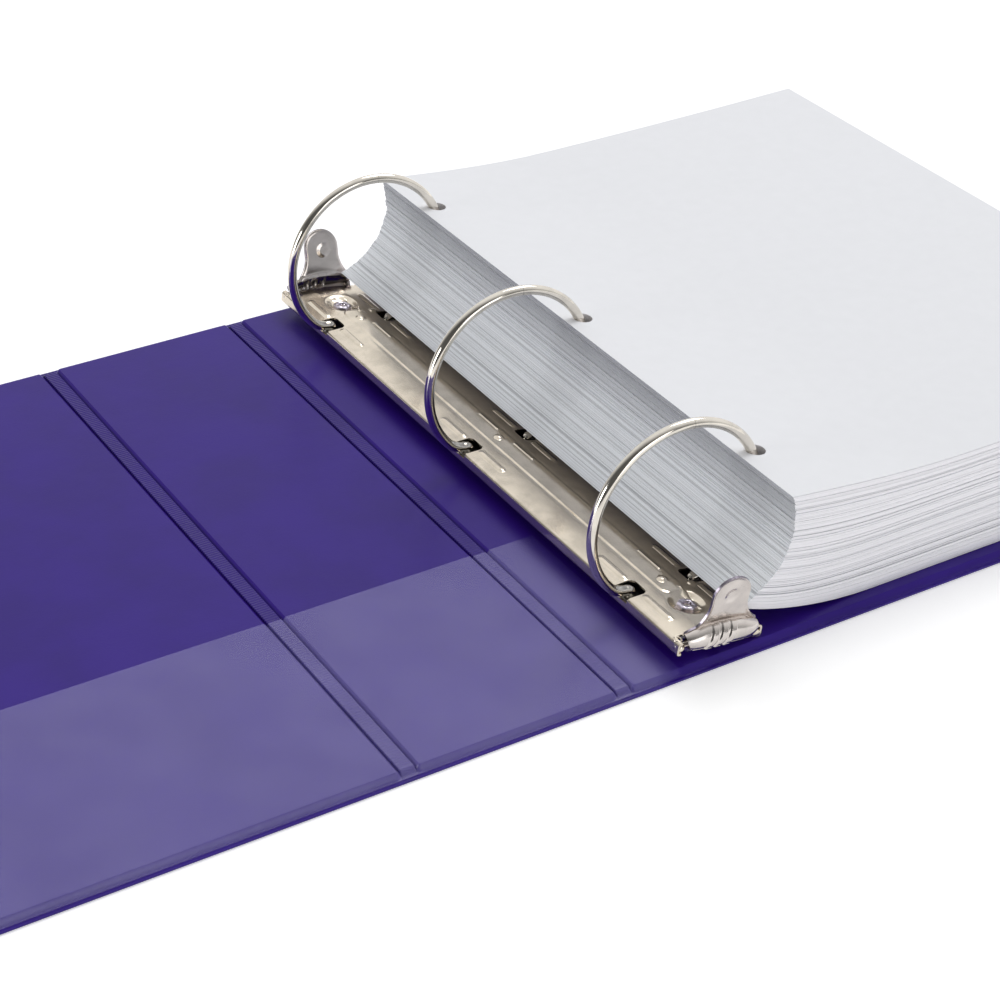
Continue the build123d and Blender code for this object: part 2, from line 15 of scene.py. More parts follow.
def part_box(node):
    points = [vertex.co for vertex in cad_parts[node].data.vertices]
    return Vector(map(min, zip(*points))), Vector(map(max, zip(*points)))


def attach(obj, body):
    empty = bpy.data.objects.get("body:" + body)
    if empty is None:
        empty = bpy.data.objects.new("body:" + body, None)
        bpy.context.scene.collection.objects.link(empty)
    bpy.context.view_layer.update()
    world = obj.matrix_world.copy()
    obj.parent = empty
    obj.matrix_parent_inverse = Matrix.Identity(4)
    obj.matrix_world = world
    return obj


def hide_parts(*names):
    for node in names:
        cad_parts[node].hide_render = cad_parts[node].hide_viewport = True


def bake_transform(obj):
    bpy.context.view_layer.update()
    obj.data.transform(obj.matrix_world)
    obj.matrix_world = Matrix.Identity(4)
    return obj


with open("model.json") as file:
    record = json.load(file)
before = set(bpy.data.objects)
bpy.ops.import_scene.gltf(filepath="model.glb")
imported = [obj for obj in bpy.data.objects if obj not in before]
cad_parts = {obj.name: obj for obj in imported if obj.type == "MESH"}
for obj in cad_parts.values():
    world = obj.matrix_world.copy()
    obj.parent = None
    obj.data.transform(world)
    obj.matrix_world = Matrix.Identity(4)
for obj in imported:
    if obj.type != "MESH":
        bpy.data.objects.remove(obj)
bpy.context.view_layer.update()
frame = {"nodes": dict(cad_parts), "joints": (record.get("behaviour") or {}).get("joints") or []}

MM = 0.001
POCKET_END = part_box("housing_plate")[0].x + 0.6 * MM
Array = np.ndarray
Colour = Tuple[float, float, float]
Point = Tuple[float, float, float]
log = logging.getLogger("binder")


# ---------------------------------------------------------------- surfaces
def smooth(value: Array, low: float = 0.0, high: float = 1.0) -> Array:
    """Rises from 0 at low to 1 at high along 3t^2 - 2t^3, level outside.

    Args:
        value: Where to read the step.
        low: Where it starts.
        high: Where it ends.

    Returns:
        The step's height, from 0 to 1.
    """
    t = np.clip((value - low) / (high - low), 0.0, 1.0)
    return t * t * (3.0 - 2.0 * t)


def lines(low: float, high: float, coarse: float, marks: Sequence[Tuple[float, float, float]]) -> Array:
    """Grid lines that crowd where a surface has detail.

    The number of lines per metre is 1/coarse, plus 1/fine inside each mark; its running sum is
    inverted at whole numbers.

    Args:
        low: First line.
        high: Last line.
        coarse: Spacing away from the marks.
        marks: Centre, half width and fine spacing of each crowded stretch.

    Returns:
        Rising positions, low and high among them.
    """
    fine = np.linspace(low, high, 6001)
    density = np.full(fine.shape, 1.0 / coarse)
    for centre, half, spacing in marks:
        density = np.maximum(density, np.where(np.abs(fine - centre) <= half, 1.0 / spacing, 0.0))
    running = np.concatenate([[0.0], np.cumsum((density[1:] + density[:-1]) / 2 * np.diff(fine))])
    count = max(2, int(round(running[-1])) + 1)
    return np.interp(np.linspace(0.0, running[-1], count), running, fine)


def circle_through(a: Array, b: Array, c: Array) -> Tuple[Array, float]:
    """Centre and radius of the circle through three points of a plane.

    The centre is level with all three: 2(b-a).m = b.b-a.a and 2(c-a).m = c.c-a.a.
    """
    matrix = 2 * np.array([b - a, c - a])
    centre = np.linalg.solve(matrix, np.array([b @ b - a @ a, c @ c - a @ a]))
    return centre, float(np.linalg.norm(a - centre))


@dataclass
class Shell:
    """Points and four-cornered faces of one surface, in metres."""

    points: Array
    quads: Array
    ply: Optional[Array] = None
    finish: Optional[Array] = None

    @classmethod
    def grid(cls, points: Array, wrap: bool = False, flip: bool = False) -> "Shell":
        """A surface over a table of points.

        Args:
            points: Rows by columns by 3; faces look along (next column) x (next row).
            wrap: Joins the last column to the first.
            flip: Turns the faces round.

        Returns:
            The surface.
        """
        rows, cols = points.shape[:2]
        index = np.arange(rows * cols).reshape(rows, cols)
        if wrap:
            index = np.hstack([index, index[:, :1]])
        a, b, c, d = index[:-1, :-1], index[:-1, 1:], index[1:, 1:], index[1:, :-1]
        quads = np.stack([a, b, c, d], -1).reshape(-1, 4)
        return cls(points.reshape(-1, 3), quads[:, ::-1] if flip else quads)

    def __add__(self, other: "Shell") -> "Shell":
        """Both surfaces as one, not joined."""
        ply = None if self.ply is None else np.concatenate([self.ply, other.ply])
        finish = None
        if self.finish is not None:
            other_finish = np.zeros(len(other.quads), int) if other.finish is None else other.finish
            finish = np.concatenate([self.finish, other_finish])
        return Shell(np.vstack([self.points, other.points]),
                     np.vstack([self.quads, other.quads + len(self.points)]), ply, finish)

    def normals(self) -> Array:
        """Unit normals of the points: the sum of the crossed diagonals of the faces round each."""
        p = self.points[self.quads]
        face = np.cross(p[:, 2] - p[:, 0], p[:, 3] - p[:, 1])
        total = np.zeros_like(self.points)
        for corner in range(4):
            np.add.at(total, self.quads[:, corner], face)
        return total / np.maximum(np.linalg.norm(total, axis=1, keepdims=True), 1e-12)

    def rim(self) -> Array:
        """Edges that only one face has, in that face's own direction."""
        edges = np.concatenate([self.quads[:, [k, (k + 1) % 4]] for k in range(4)])
        edges = edges[edges[:, 0] != edges[:, 1]]
        key = np.sort(edges, axis=1)
        _, first, count = np.unique(key, axis=0, return_index=True, return_counts=True)
        return edges[first[count == 1]]

    def bridged(self, under: Array) -> "Shell":
        """A closed wall between this surface and the same surface at other points.

        Args:
            under: The points of the lower side, in the same order.

        Returns:
            The closed surface, with finish 1 on the faces that join the two sides.
        """
        n, edge = len(self.points), self.rim()
        walls = np.stack([edge[:, 1], edge[:, 0], edge[:, 0] + n, edge[:, 1] + n], -1)
        quads = np.vstack([self.quads, self.quads[:, ::-1] + n, walls])
        finish = np.zeros(len(quads), int)
        finish[2 * len(self.quads):] = 1
        return Shell(np.vstack([self.points, under]), quads, None, finish)

    def thickened(self, thickness: float) -> "Shell":
        """A closed sheet whose other side lies a thickness behind this one."""
        return self.bridged(self.points - self.normals() * thickness)

    def trimmed(self, distance: Callable[[Array], Array]) -> "Shell":
        """The surface without the part where distance is negative.

        Faces whose middle is inside are left out, and points near the cut move along the
        distance's gradient on to its zero.

        Args:
            distance: Signed distance of points from the cut, positive where the surface stays.

        Returns:
            The trimmed surface, with unused points left out.
        """
        inside = distance(self.points[self.quads].mean(axis=1)) < 0
        kept, gone = self.quads[~inside], self.quads[inside]
        edge = np.intersect1d(np.unique(kept), np.unique(gone))
        points = self.points.copy()
        step = 1e-5
        for _ in range(3):
            here = points[edge]
            value = distance(here)
            slope = np.stack([(distance(here + step * axis) - value) / step for axis in np.eye(3)], -1)
            size = np.maximum((slope**2).sum(axis=1, keepdims=True), 0.2)
            points[edge] = here - value[:, None] * slope / size
        used, back = np.unique(kept, return_inverse=True)
        return Shell(points[used], back.reshape(-1, 4))

    def moved(self, place: Callable[[Array], Array]) -> "Shell":
        """The same faces on points carried elsewhere."""
        return Shell(place(self.points), self.quads, self.ply, self.finish)

    def turned(self) -> "Shell":
        """The same surface with its faces turned round."""
        return Shell(self.points, self.quads[:, ::-1], self.ply, self.finish)

    def mirrored(self) -> "Shell":
        """The surface's reflection in the plane y = 0, with its faces turned to suit."""
        return self.moved(lambda points: points * [1, -1, 1]).turned()

    def mesh(self, name: str) -> bpy.types.Mesh:
        """A Blender mesh of the surface; faces with two corners in one place become triangles."""
        used, place, back = np.unique(np.round(self.points / 1e-7).astype(np.int64), axis=0,
                                      return_index=True, return_inverse=True)
        quads = back.reshape(-1)[self.quads]
        same = quads == np.roll(quads, -1, axis=1)
        whole, pinched = same.sum(axis=1) == 0, same.sum(axis=1) == 1
        corner = np.argmax(same[pinched], axis=1)
        turn = (corner[:, None] + np.arange(1, 4)) % 4
        triangles = np.take_along_axis(quads[pinched], turn, axis=1)
        loops = np.concatenate([quads[whole].ravel(), triangles.ravel()])
        starts = np.concatenate([np.arange(whole.sum()) * 4,
                                 whole.sum() * 4 + np.arange(len(triangles)) * 3])
        mesh = bpy.data.meshes.new(name)
        mesh.vertices.add(len(used))
        mesh.vertices.foreach_set("co", self.points[place].astype(np.float32).ravel())
        mesh.loops.add(len(loops))
        mesh.loops.foreach_set("vertex_index", loops.astype(np.int32))
        mesh.polygons.add(len(starts))
        mesh.polygons.foreach_set("loop_start", starts.astype(np.int32))
        if self.finish is not None:
            chosen = np.concatenate([self.finish[whole], self.finish[pinched]])
            mesh.polygons.foreach_set("material_index", chosen.astype(np.int32))
        if self.ply is not None:
            attribute = mesh.attributes.new("ply", "FLOAT", "POINT")
            attribute.data.foreach_set("value", self.ply[place].astype(np.float32))
        mesh.update(calc_edges=True)
        mesh.validate()
        mesh.shade_smooth()
        mesh.set_sharp_from_angle(angle=math.radians(38))
        return mesh


def rectangle_distance(x: Array, y: Array, middle: Tuple[float, float], half: Tuple[float, float],
                       corner: float) -> Array:
    """Signed distance from a rectangle with round corners, negative inside.

    With q = |point - middle| - half + corner, it is |max(q, 0)| + min(max(qx, qy), 0) - corner.
    """
    qx = np.abs(x - middle[0]) - half[0] + corner
    qy = np.abs(y - middle[1]) - half[1] + corner
    outside = np.hypot(np.maximum(qx, 0), np.maximum(qy, 0))
    return outside + np.minimum(np.maximum(qx, qy), 0) - corner


def bar_distance(x: Array, y: Array, middle: Tuple[float, float], half: float) -> Array:
    """Distance from a straight stretch along Y: to the nearest of its points."""
    return np.hypot(x - middle[0], np.maximum(np.abs(y - middle[1]) - half, 0))


# ---------------------------------------------------------------- shader building
class Signal:
    """A shader output that Python arithmetic turns into Math nodes."""

    def __init__(self, shader: "Shader", socket: bpy.types.NodeSocket) -> None:
        """Wraps one output socket of a shader."""
        self.shader = shader
        self.socket = socket

    def _math(self, operation: str, *values: "Operand") -> "Signal":
        """A Math node of that operation on these values."""
        return self.shader.node("ShaderNodeMath", {"operation": operation}, dict(enumerate(values)))

    def __add__(self, other: "Operand") -> "Signal":
        """Sum."""
        return self._math("ADD", self, other)

    __radd__ = __add__

    def __sub__(self, other: "Operand") -> "Signal":
        """Difference."""
        return self._math("SUBTRACT", self, other)

    def __rsub__(self, other: "Operand") -> "Signal":
        """Difference from a number."""
        return self._math("SUBTRACT", other, self)

    def __mul__(self, other: "Operand") -> "Signal":
        """Product."""
        return self._math("MULTIPLY", self, other)

    __rmul__ = __mul__

    def step(self, low: float, high: float) -> "Signal":
        """A smooth rise from 0 at low to 1 at high."""
        return self.shader.node("ShaderNodeMapRange", {"interpolation_type": "SMOOTHSTEP"},
                                {"Value": self, "From Min": low, "From Max": high})


Operand = Union[Signal, float]


class Shader:
    """The nodes of one material or of the world, with the node that shades it."""

    def __init__(self, material: Union[bpy.types.Material, bpy.types.World],
                 surface: str = "Principled BSDF") -> None:
        """Starts the nodes.

        Args:
            material: What the nodes belong to.
            surface: The node that shades it.
        """
        self.material = material
        self.material.use_nodes = True
        self.tree = self.material.node_tree
        self.surface = self.tree.nodes[surface]

    @classmethod
    def named(cls, name: str) -> "Shader":
        """Starts a material with that name."""
        return cls(bpy.data.materials.new(name))

    def node(self, kind: str, settings: Dict[str, object], inputs: Dict[Union[str, int], object],
             output: Union[str, int] = 0) -> Signal:
        """Adds a node.

        Args:
            kind: The node's type.
            settings: Its properties, set first.
            inputs: Values or signals for its sockets, by name or number.
            output: The output that is returned.

        Returns:
            That output.
        """
        made = self.tree.nodes.new(kind)
        for key, value in settings.items():
            setattr(made, key, value)
        for key, value in inputs.items():
            self.connect(made.inputs[key], value)
        return Signal(self, made.outputs[output])

    def connect(self, socket: bpy.types.NodeSocket, value: object) -> None:
        """Links a signal to a socket, or sets its value."""
        if isinstance(value, Signal):
            self.tree.links.new(value.socket, socket)
        else:
            socket.default_value = value

    def put(self, **inputs: object) -> "Shader":
        """Sets or links the shading node's sockets, named with _ for a space."""
        for key, value in inputs.items():
            self.connect(self.surface.inputs[key.replace("_", " ")], value)
        return self

    def place(self, scale: Tuple[float, float, float] = (1, 1, 1)) -> Signal:
        """Position on the object, in metres, stretched by scale."""
        where = self.node("ShaderNodeTexCoord", {}, {}, "Object")
        return self.node("ShaderNodeMapping", {}, {"Vector": where, "Scale": scale})

    def noise(self, size: float, detail: float = 3.0, stretch: Tuple[float, float, float] = (1, 1, 1),
              roughness: float = 0.55) -> Signal:
        """Noise from 0 to 1 whose blotches are about size metres across."""
        return self.node("ShaderNodeTexNoise", {},
                         {"Vector": self.place(stretch), "Scale": 1.0 / size, "Detail": detail,
                          "Roughness": roughness})

    def blend(self, factor: Operand, first: Colour, second: Colour) -> Signal:
        """A colour between two, by a factor; the Mix node's colour sockets are found by number."""
        return self.node("ShaderNodeMix", {"data_type": "RGBA"},
                         {0: factor, 6: (*first, 1.0), 7: (*second, 1.0)}, 2)

    def bump(self, height: Operand, distance: float, strength: float = 1.0,
             under: Optional[Signal] = None) -> Signal:
        """A normal bent by a height from 0 to 1, distance metres deep."""
        inputs: Dict[Union[str, int], object] = {"Height": height, "Distance": distance,
                                                 "Strength": strength}
        if under is not None:
            inputs["Normal"] = under
        return self.node("ShaderNodeBump", {}, inputs)


def tint(colour: Colour, factor: float) -> Colour:
    """The colour made lighter or darker by a factor."""
    return tuple(min(1.0, part * factor) for part in colour)


@dataclass(frozen=True)
class Vinyl:
    """Embossed vinyl sheet: faint blotches, a fine leather grain and a soft sheen."""

    name: str = "embossed_vinyl"
    colour: Colour = (0.029, 0.006, 0.215)
    gloss: float = 0.3
    grain: float = 0.7 * MM
    depth: float = 0.05 * MM
    rows: float = 0.0

    def material(self) -> bpy.types.Material:
        """Builds the material."""
        s = Shader.named(self.name)
        blotch = s.noise(38 * MM, 4.0)
        grain = s.noise(self.grain, 2.0)
        ripple = s.noise(14 * MM, 2.0)
        pit = s.node("ShaderNodeTexVoronoi", {"feature": "SMOOTH_F1"},
                     {"Vector": s.place(), "Scale": 1 / (1.3 * self.grain), "Smoothness": 0.6})
        under = s.bump(ripple, 0.35 * MM, 0.3)
        if self.rows:
            weld = s.node("ShaderNodeTexWave", {"bands_direction": "Y"},
                          {"Vector": s.place(), "Scale": 0.314 / self.rows, "Distortion": 0.0}, "Fac")
            under = s.bump(weld, 0.16 * MM, 0.8, under)
        s.put(Base_Color=s.blend(blotch.step(0.3, 0.7), tint(self.colour, 0.92), tint(self.colour, 1.1)),
              Roughness=self.gloss - 0.05 + 0.12 * blotch + 0.06 * grain,
              Normal=s.bump(grain * 0.5 + pit * 0.5, self.depth, 0.6, under))
        s.surface.inputs["Specular IOR Level"].default_value = 0.22
        return s.material


@dataclass(frozen=True)
class ClearVinyl:
    """Frosted clear sheet: see-through, paler than what it covers, with cloudy patches; its haze fades out
    before its end as painted shade.
    """

    name: str = "frosted_sheet"
    colour: Colour = (0.30, 0.26, 0.66)
    cover: float = 0.245
    end: float = 0.0
    # stretch before the end over which painted shade fades the sheet's haze out, by the housing
    fade: float = 14 * MM

    def material(self) -> bpy.types.Material:
        """Builds the material."""
        s = Shader.named(self.name)
        cloud = s.noise(26 * MM, 6.0, roughness=0.6)
        thread = s.noise(0.9 * MM, 2.0)
        x = s.node("ShaderNodeSeparateXYZ", {}, {"Vector": s.place()})
        # painted shade: the haze fades out towards the pocket's end by the housing, letting the darker vinyl
        # show where shade falls beside the housing; it also hides the sheet's end edge
        painted_shade_fade = 1.0 - 0.85 * x.step(self.end - self.fade, self.end)
        s.put(Base_Color=s.blend(thread, tint(self.colour, 0.9), tint(self.colour, 1.1)),
              Alpha=self.cover * (0.88 + 0.24 * cloud.step(0.3, 0.72)) * painted_shade_fade,
              Roughness=0.27 + 0.1 * cloud,
              Normal=s.bump(thread, 0.05 * MM, 0.6, s.bump(cloud, 0.2 * MM, 0.3)))
        s.surface.inputs["Specular IOR Level"].default_value = 0.7
        s.surface.inputs["Coat Weight"].default_value = 0.25
        s.surface.inputs["Coat Roughness"].default_value = 0.3
        return s.material


@dataclass(frozen=True)
class Nickel:
    """Nickel plating: warm mirror with a faint haze, rolling lines and finger marks."""

    name: str
    colour: Colour = (0.74, 0.665, 0.555)
    gloss: float = 0.15
    streak: float = 0.03 * MM

    def material(self) -> bpy.types.Material:
        """Builds the material."""
        s = Shader.named(self.name)
        haze = s.noise(9 * MM, 4.0)
        rolled = s.noise(0.8 * MM, 3.0, (1.0, 0.05, 1.0))
        dent = s.noise(16 * MM, 1.0)
        s.put(Base_Color=s.blend(haze.step(0.35, 0.75), tint(self.colour, 1.05), tint(self.colour, 0.86)),
              Metallic=1.0,
              Roughness=self.gloss - 0.03 + 0.1 * haze.step(0.3, 0.8) + 0.04 * rolled,
              Normal=s.bump(rolled, self.streak, 0.25, s.bump(dent, 0.5 * MM, 0.25)))
        return s.material


@dataclass(frozen=True)
class Card:
    """Grey chipboard: flecked, soft and dull."""

    name: str = "grey_card"
    colour: Colour = (0.36, 0.31, 0.26)

    def material(self) -> bpy.types.Material:
        """Builds the material."""
        s = Shader.named(self.name)
        fleck = s.noise(1.6 * MM, 4.0)
        s.put(Base_Color=s.blend(fleck, tint(self.colour, 0.8), tint(self.colour, 1.2)), Roughness=0.92,
              Normal=s.bump(fleck, 0.1 * MM, 0.5))
        return s.material


@dataclass(frozen=True)
class PaperFace:
    """The flat of a sheet: white with a faint formation and tooth."""

    name: str = "paper_face"
    colour: Colour = (0.88, 0.89, 0.925)

    def material(self) -> bpy.types.Material:
        """Builds the material."""
        s = Shader.named(self.name)
        cloud = s.noise(6 * MM, 4.0)
        tooth = s.noise(0.35 * MM, 2.0)
        s.put(Base_Color=s.blend(cloud, tint(self.colour, 0.975), tint(self.colour, 1.02)),
              Roughness=0.82,
              Normal=s.bump(tooth, 0.02 * MM, 0.4))
        return s.material


@dataclass(frozen=True)
class PaperEdge:
    """The cut edges of many sheets: a fine line for each, grouped into lighter and darker plies."""

    name: str = "paper_edge"
    colour: Colour = (0.915, 0.905, 0.94)
    sheets: float = 475.0
    dark: float = 0.86
    shade: float = 0.0

    def material(self) -> bpy.types.Material:
        """Builds the material: each line's tone is noise read at the ply's height in the stack, and painted
        shade darkens the upper plies by shade.
        """
        s = Shader.named(self.name)
        ply = s.node("ShaderNodeAttribute", {"attribute_name": "ply"}, {}, "Fac")
        along = s.noise(90 * MM, 1.0, (0.15, 0.08, 0.0)) * 0.6
        single = s.node("ShaderNodeTexNoise", {"noise_dimensions": "1D"},
                        {"W": ply * self.sheets + along, "Scale": 0.9, "Detail": 1.0})
        group = s.node("ShaderNodeTexNoise", {"noise_dimensions": "1D"},
                       {"W": ply * self.sheets * 0.11 + along * 0.3 + 7.3, "Scale": 1.0, "Detail": 2.0})
        tone = single.step(0.32, 0.5) * 0.5 + group.step(0.36, 0.5) * 0.5
        # painted shade: the upper plies of the stack are darkened, standing in for the shade on the top of
        # the binding face
        tone = tone * (1.0 - self.shade * ply.step(0.45, 0.95))
        s.put(Base_Color=s.blend(tone, tint(self.colour, self.dark), tint(self.colour, 1.06)),
              Roughness=0.85,
              Normal=s.bump(single, 0.06 * MM, 0.4))
        return s.material


class Look(Enum):
    """The binder's finishes."""

    VINYL = Vinyl()
    WELD = Vinyl("welded_vinyl", (0.026, 0.006, 0.19), 0.34, rows=1.3 * MM)
    CLEAR = ClearVinyl(end=POCKET_END)
    CARD = Card()
    NICKEL = Nickel("plate_nickel")
    RING = Nickel("wire_nickel", (0.76, 0.715, 0.64), 0.06, 0.01 * MM)
    LEVER = Nickel("lever_nickel", (0.67, 0.62, 0.585), 0.17)
    CUT = Nickel("cut_nickel", (0.30, 0.27, 0.32), 0.3)
    # painted reflection: the violet tint of this nickel stands in for the violet cover reflected in the
    # rivets' eyelets
    RIVET = Nickel("rivet_nickel_painted_reflection", (0.66, 0.61, 0.70), 0.12)
    BLADE = Nickel("spring_steel", (0.42, 0.41, 0.39), 0.3)
    FACE = PaperFace()
    EDGE = PaperEdge()
    # painted shade: the binding face's copy of the paper edge, with a cooler tint and darker upper plies
    BINDING = PaperEdge("binding_edge_painted_shade", (0.88, 0.905, 0.94), 475.0, 0.44, 0.85)

    def material(self) -> bpy.types.Material:
        """The finish's material, built once."""
        return bpy.data.materials.get(self.value.name) or self.value.material()


def add_piece(name: str, shell: Shell, body: str, looks: Sequence[Look],
              stands_for: Sequence[str] = (), bends: Optional[Tuple[str, str, Array, Array]] = None
              ) -> bpy.types.Object:
    """Makes a piece of the binder from a surface.

    Args:
        name: The piece's name.
        shell: Its surface, in place.
        body: The body that it rides on.
        looks: Its finishes, in the order of the surface's finish numbers.
        stands_for: CAD nodes that it replaces.
        bends: Two bodies and two points of a joint; if given, the piece stays in place instead of riding on
            a body, and the bodies and points are not used.

    Returns:
        The piece.
    """
    piece = bpy.data.objects.new(name, shell.mesh(name))
    bpy.context.scene.collection.objects.link(piece)
    for look in looks:
        piece.data.materials.append(look.material())
    if bends:
        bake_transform(piece)
    else:
        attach(piece, body)
    if stands_for:
        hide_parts(*stands_for)
    log.info("%s: %d faces on %s", name, len(piece.data.polygons), body)
    return piece


# ---------------------------------------------------------------- covers
@dataclass
class Covers:
    """Three stiffened panels and two folds, under one skin of vinyl, with pockets along the near edge."""

    sheet: float = 0.4 * MM
    roll_in: float = 0.8 * MM
    roll_out: float = 1.1 * MM
    ridge_half: float = 2.9 * MM
    ridge_rise: float = 1.85 * MM
    ridge_short: float = 3.0 * MM
    corner: float = 4.0 * MM
    pocket_sheet: float = 0.22 * MM
    pocket_inset: float = 1.0 * MM
    pocket_air: float = 0.05 * MM
    card_air: float = 0.02 * MM
    sheet_share: float = 0.95
    ripple: float = 0.05 * MM
    ridge_edge: float = 0.45 * MM
    ridge_fade: float = 1.5 * MM
    fold_columns: int = 37
    spacing: Tuple[float, float] = (12 * MM, 9 * MM)
    rolled: Tuple[float, float] = (5 * MM, 0.45 * MM)

    def __post_init__(self) -> None:
        """Reads the boards, folds and pockets from the frame."""
        self.panels = ("front", "spine", "back")
        self.boards = {name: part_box(f"{name}_board") for name in self.panels}
        self.skins = {name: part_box(f"{name}_outer_skin") for name in self.panels}
        self.folds = {"front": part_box("front_hinge_strip"), "rear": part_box("rear_hinge_strip")}
        self.top = self.boards["front"][1].z + self.sheet
        self.pocket_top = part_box("front_pocket")[1].y
        self.half = self.skins["front"][1].y

    def height(self, x: Array, y: Array) -> Array:
        """Height of the inner vinyl.

        It lies at two sheets' thickness where it is welded, rolls up over each board by a smooth
        step across the board's edge, and stands as a flat-topped ridge along the middle of a fold.
        """
        z = np.full(np.broadcast(x, y).shape, 2 * self.sheet)
        for low, high in self.boards.values():
            middle = ((low.x + high.x) / 2, (low.y + high.y) / 2)
            half = ((high.x - low.x) / 2, (high.y - low.y) / 2)
            away = rectangle_distance(x, y, middle, half, self.roll_out)
            over = smooth(-away, -self.roll_out, self.roll_in)
            swell = self.ripple * np.sin(x / 0.031 + 2 * np.sin(y / 0.047)) * np.sin(y / 0.037)
            z = np.maximum(z, 2 * self.sheet + over * (self.top - 2 * self.sheet - self.ripple + swell))
        for low, high in self.folds.values():
            across = np.abs(x - (low.x + high.x) / 2)
            along = self.half - self.ridge_short - np.abs(y)
            ridge = smooth(self.ridge_half - across, -self.ridge_edge, self.ridge_edge)
            ridge = ridge * smooth(along, -self.ridge_fade, self.ridge_fade)
            z = np.maximum(z, 2 * self.sheet + self.ridge_rise * ridge)
        return z

    def surface(self, x: Array, y: Array, lift: float) -> Shell:
        """The inner vinyl's upper surface, or one that lies above it by lift."""
        gx, gy = np.meshgrid(x, y)
        return Shell.grid(np.stack([gx, gy, self.height(gx, gy) + lift], -1))

    def ends(self) -> List[Tuple[float, float, float]]:
        """Where lines crowd along Y: at both ends."""
        return [(side * self.half, *self.rolled) for side in (-1, 1)]

    def outline(self, points: Array) -> Array:
        """Distance inside the whole cover's outline, with its four round corners."""
        low, high = self.skins["front"][0], self.skins["back"][1]
        middle = ((low.x + high.x) / 2, 0.0)
        half = ((high.x - low.x) / 2, self.half)
        return -rectangle_distance(points[:, 0], points[:, 1], middle, half, self.corner)

    def add_panel(self, name: str, body: str) -> None:
        """Adds one panel's inner vinyl and its board.

        Args:
            name: The panel.
            body: The body that it belongs to.
        """
        low, high = self.skins[name]
        x = lines(low.x, high.x, self.spacing[0], [(edge, *self.rolled) for edge in (low.x, high.x)])
        y = lines(-self.half, self.half, self.spacing[0], self.ends())
        top = self.surface(x, y, 0.0).trimmed(self.outline)
        under = top.points - [0, 0, self.sheet * self.sheet_share]
        add_piece(f"{name}_inner_vinyl", top.bridged(under), body, [Look.VINYL, Look.VINYL],
                  [f"{name}_liner"])
        board_low, board_high = self.boards[name]
        inner = (x > board_low.x - 1e-5) & (x < board_high.x + 1e-5)
        rows = np.abs(y) < board_high.y + 1e-5
        card = self.surface(x[inner], y[rows], -1.1 * self.sheet)
        floor = card.points * [1, 1, 0] + [0, 0, board_low.z + self.card_air]
        add_piece(f"{name}_card", card.bridged(floor), body, [Look.CARD, Look.CARD],
                  [f"{name}_board"])

    def add_fold(self, name: str, first: str, second: str) -> None:
        """Adds one fold's vinyl and the pocket sheet across it, both left in place across the joint.

        Args:
            name: The fold.
            first: The body on its left.
            second: The body on its right.
        """
        low, high = self.folds[name]
        x = np.linspace(low.x, high.x, self.fold_columns)
        y = lines(-self.half, self.half, self.spacing[1], self.ends())
        start, end = np.array([low.x, 0, 0]), np.array([high.x, 0, 0])
        top = self.surface(x, y, 0.0)
        floor = top.points * [1, 1, 0]
        add_piece(f"{name}_fold", top.bridged(floor), first, [Look.WELD, Look.WELD],
                  [f"{name}_hinge_strip"], (first, second, start, end))
        y = lines(-self.half + self.pocket_inset, self.pocket_top, self.spacing[1], self.ends())
        sheet = self.surface(x, y, self.pocket_air + self.pocket_sheet)
        add_piece(f"{name}_fold_pocket", sheet.bridged(sheet.points - [0, 0, self.pocket_sheet]), first,
                  [Look.CLEAR, Look.CLEAR], (), (first, second, start, end))

    def add_pocket(self, name: str, body: str) -> None:
        """Adds one panel's stretch of the clear pocket.

        Args:
            name: The panel.
            body: The body that it belongs to.
        """
        low, high = self.skins[name]
        right = min(high.x, POCKET_END)
        left = low.x + (self.pocket_inset if name == "front" else 0.0)
        x = lines(left, right, self.spacing[0], [(edge, *self.rolled) for edge in (low.x, high.x)])
        y = lines(-self.half + self.pocket_inset, self.pocket_top, self.spacing[1], self.ends())
        sheet = self.surface(x, y, self.pocket_air + self.pocket_sheet)
        add_piece(f"{name}_pocket_sheet", sheet.bridged(sheet.points - [0, 0, self.pocket_sheet]), body,
                  [Look.CLEAR, Look.CLEAR], [f"{name}_pocket"])

    def build(self) -> None:
        """Adds every piece of the covers."""
        bodies = {"front": "front_cover", "spine": "spine", "back": "back_cover"}
        for name, body in bodies.items():
            self.add_panel(name, body)
            self.add_pocket(name, body)
        self.add_fold("front", "front_cover", "spine")
        self.add_fold("rear", "spine", "back_cover")


# ---------------------------------------------------------------- ring mechanism
@dataclass
class Mechanism:
    """The leaning layout that the metal parts share, read from the frame's joints."""

    pivot_height: float = 2.3 * MM
    axis_height: float = 2.8 * MM
    punch_spacing: float = 107.95 * MM

    def __post_init__(self) -> None:
        """Finds the lean and the origin from the two ring pivots and the lever's axis."""
        joints = {joint["name"]: joint for joint in frame["joints"]}
        axis = joints["near_trigger_press"]["axis"]
        self.cos, self.sin = axis[0], -axis[2]
        left = np.array(joints["left_rings_open"]["pos_m"])
        right = np.array(joints["right_rings_open"]["pos_m"])
        middle = (left + right) / 2
        self.origin = middle - self.pivot_height * np.array([self.sin, 0, self.cos])
        self.trigger_y = abs(joints["near_trigger_press"]["pos_m"][1])
        self.ring_y = [k * self.punch_spacing for k in (-1, 0, 1)]
        low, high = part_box("middle_ring_left")[0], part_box("middle_ring_right")[1]
        self.ring_reach = (high.x - low.x) / 2
        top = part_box("middle_ring_left")[1].z
        self.ring_centre = np.array([(high.x + low.x) / 2, top - self.ring_reach])

    def place(self, points: Array) -> Array:
        """Carries points from the upright layout to their leaning place."""
        x, y, z = points[:, 0], points[:, 1], points[:, 2]
        return np.stack([self.origin[0] + x * self.cos + z * self.sin, y,
                         self.origin[2] - x * self.sin + z * self.cos], -1)


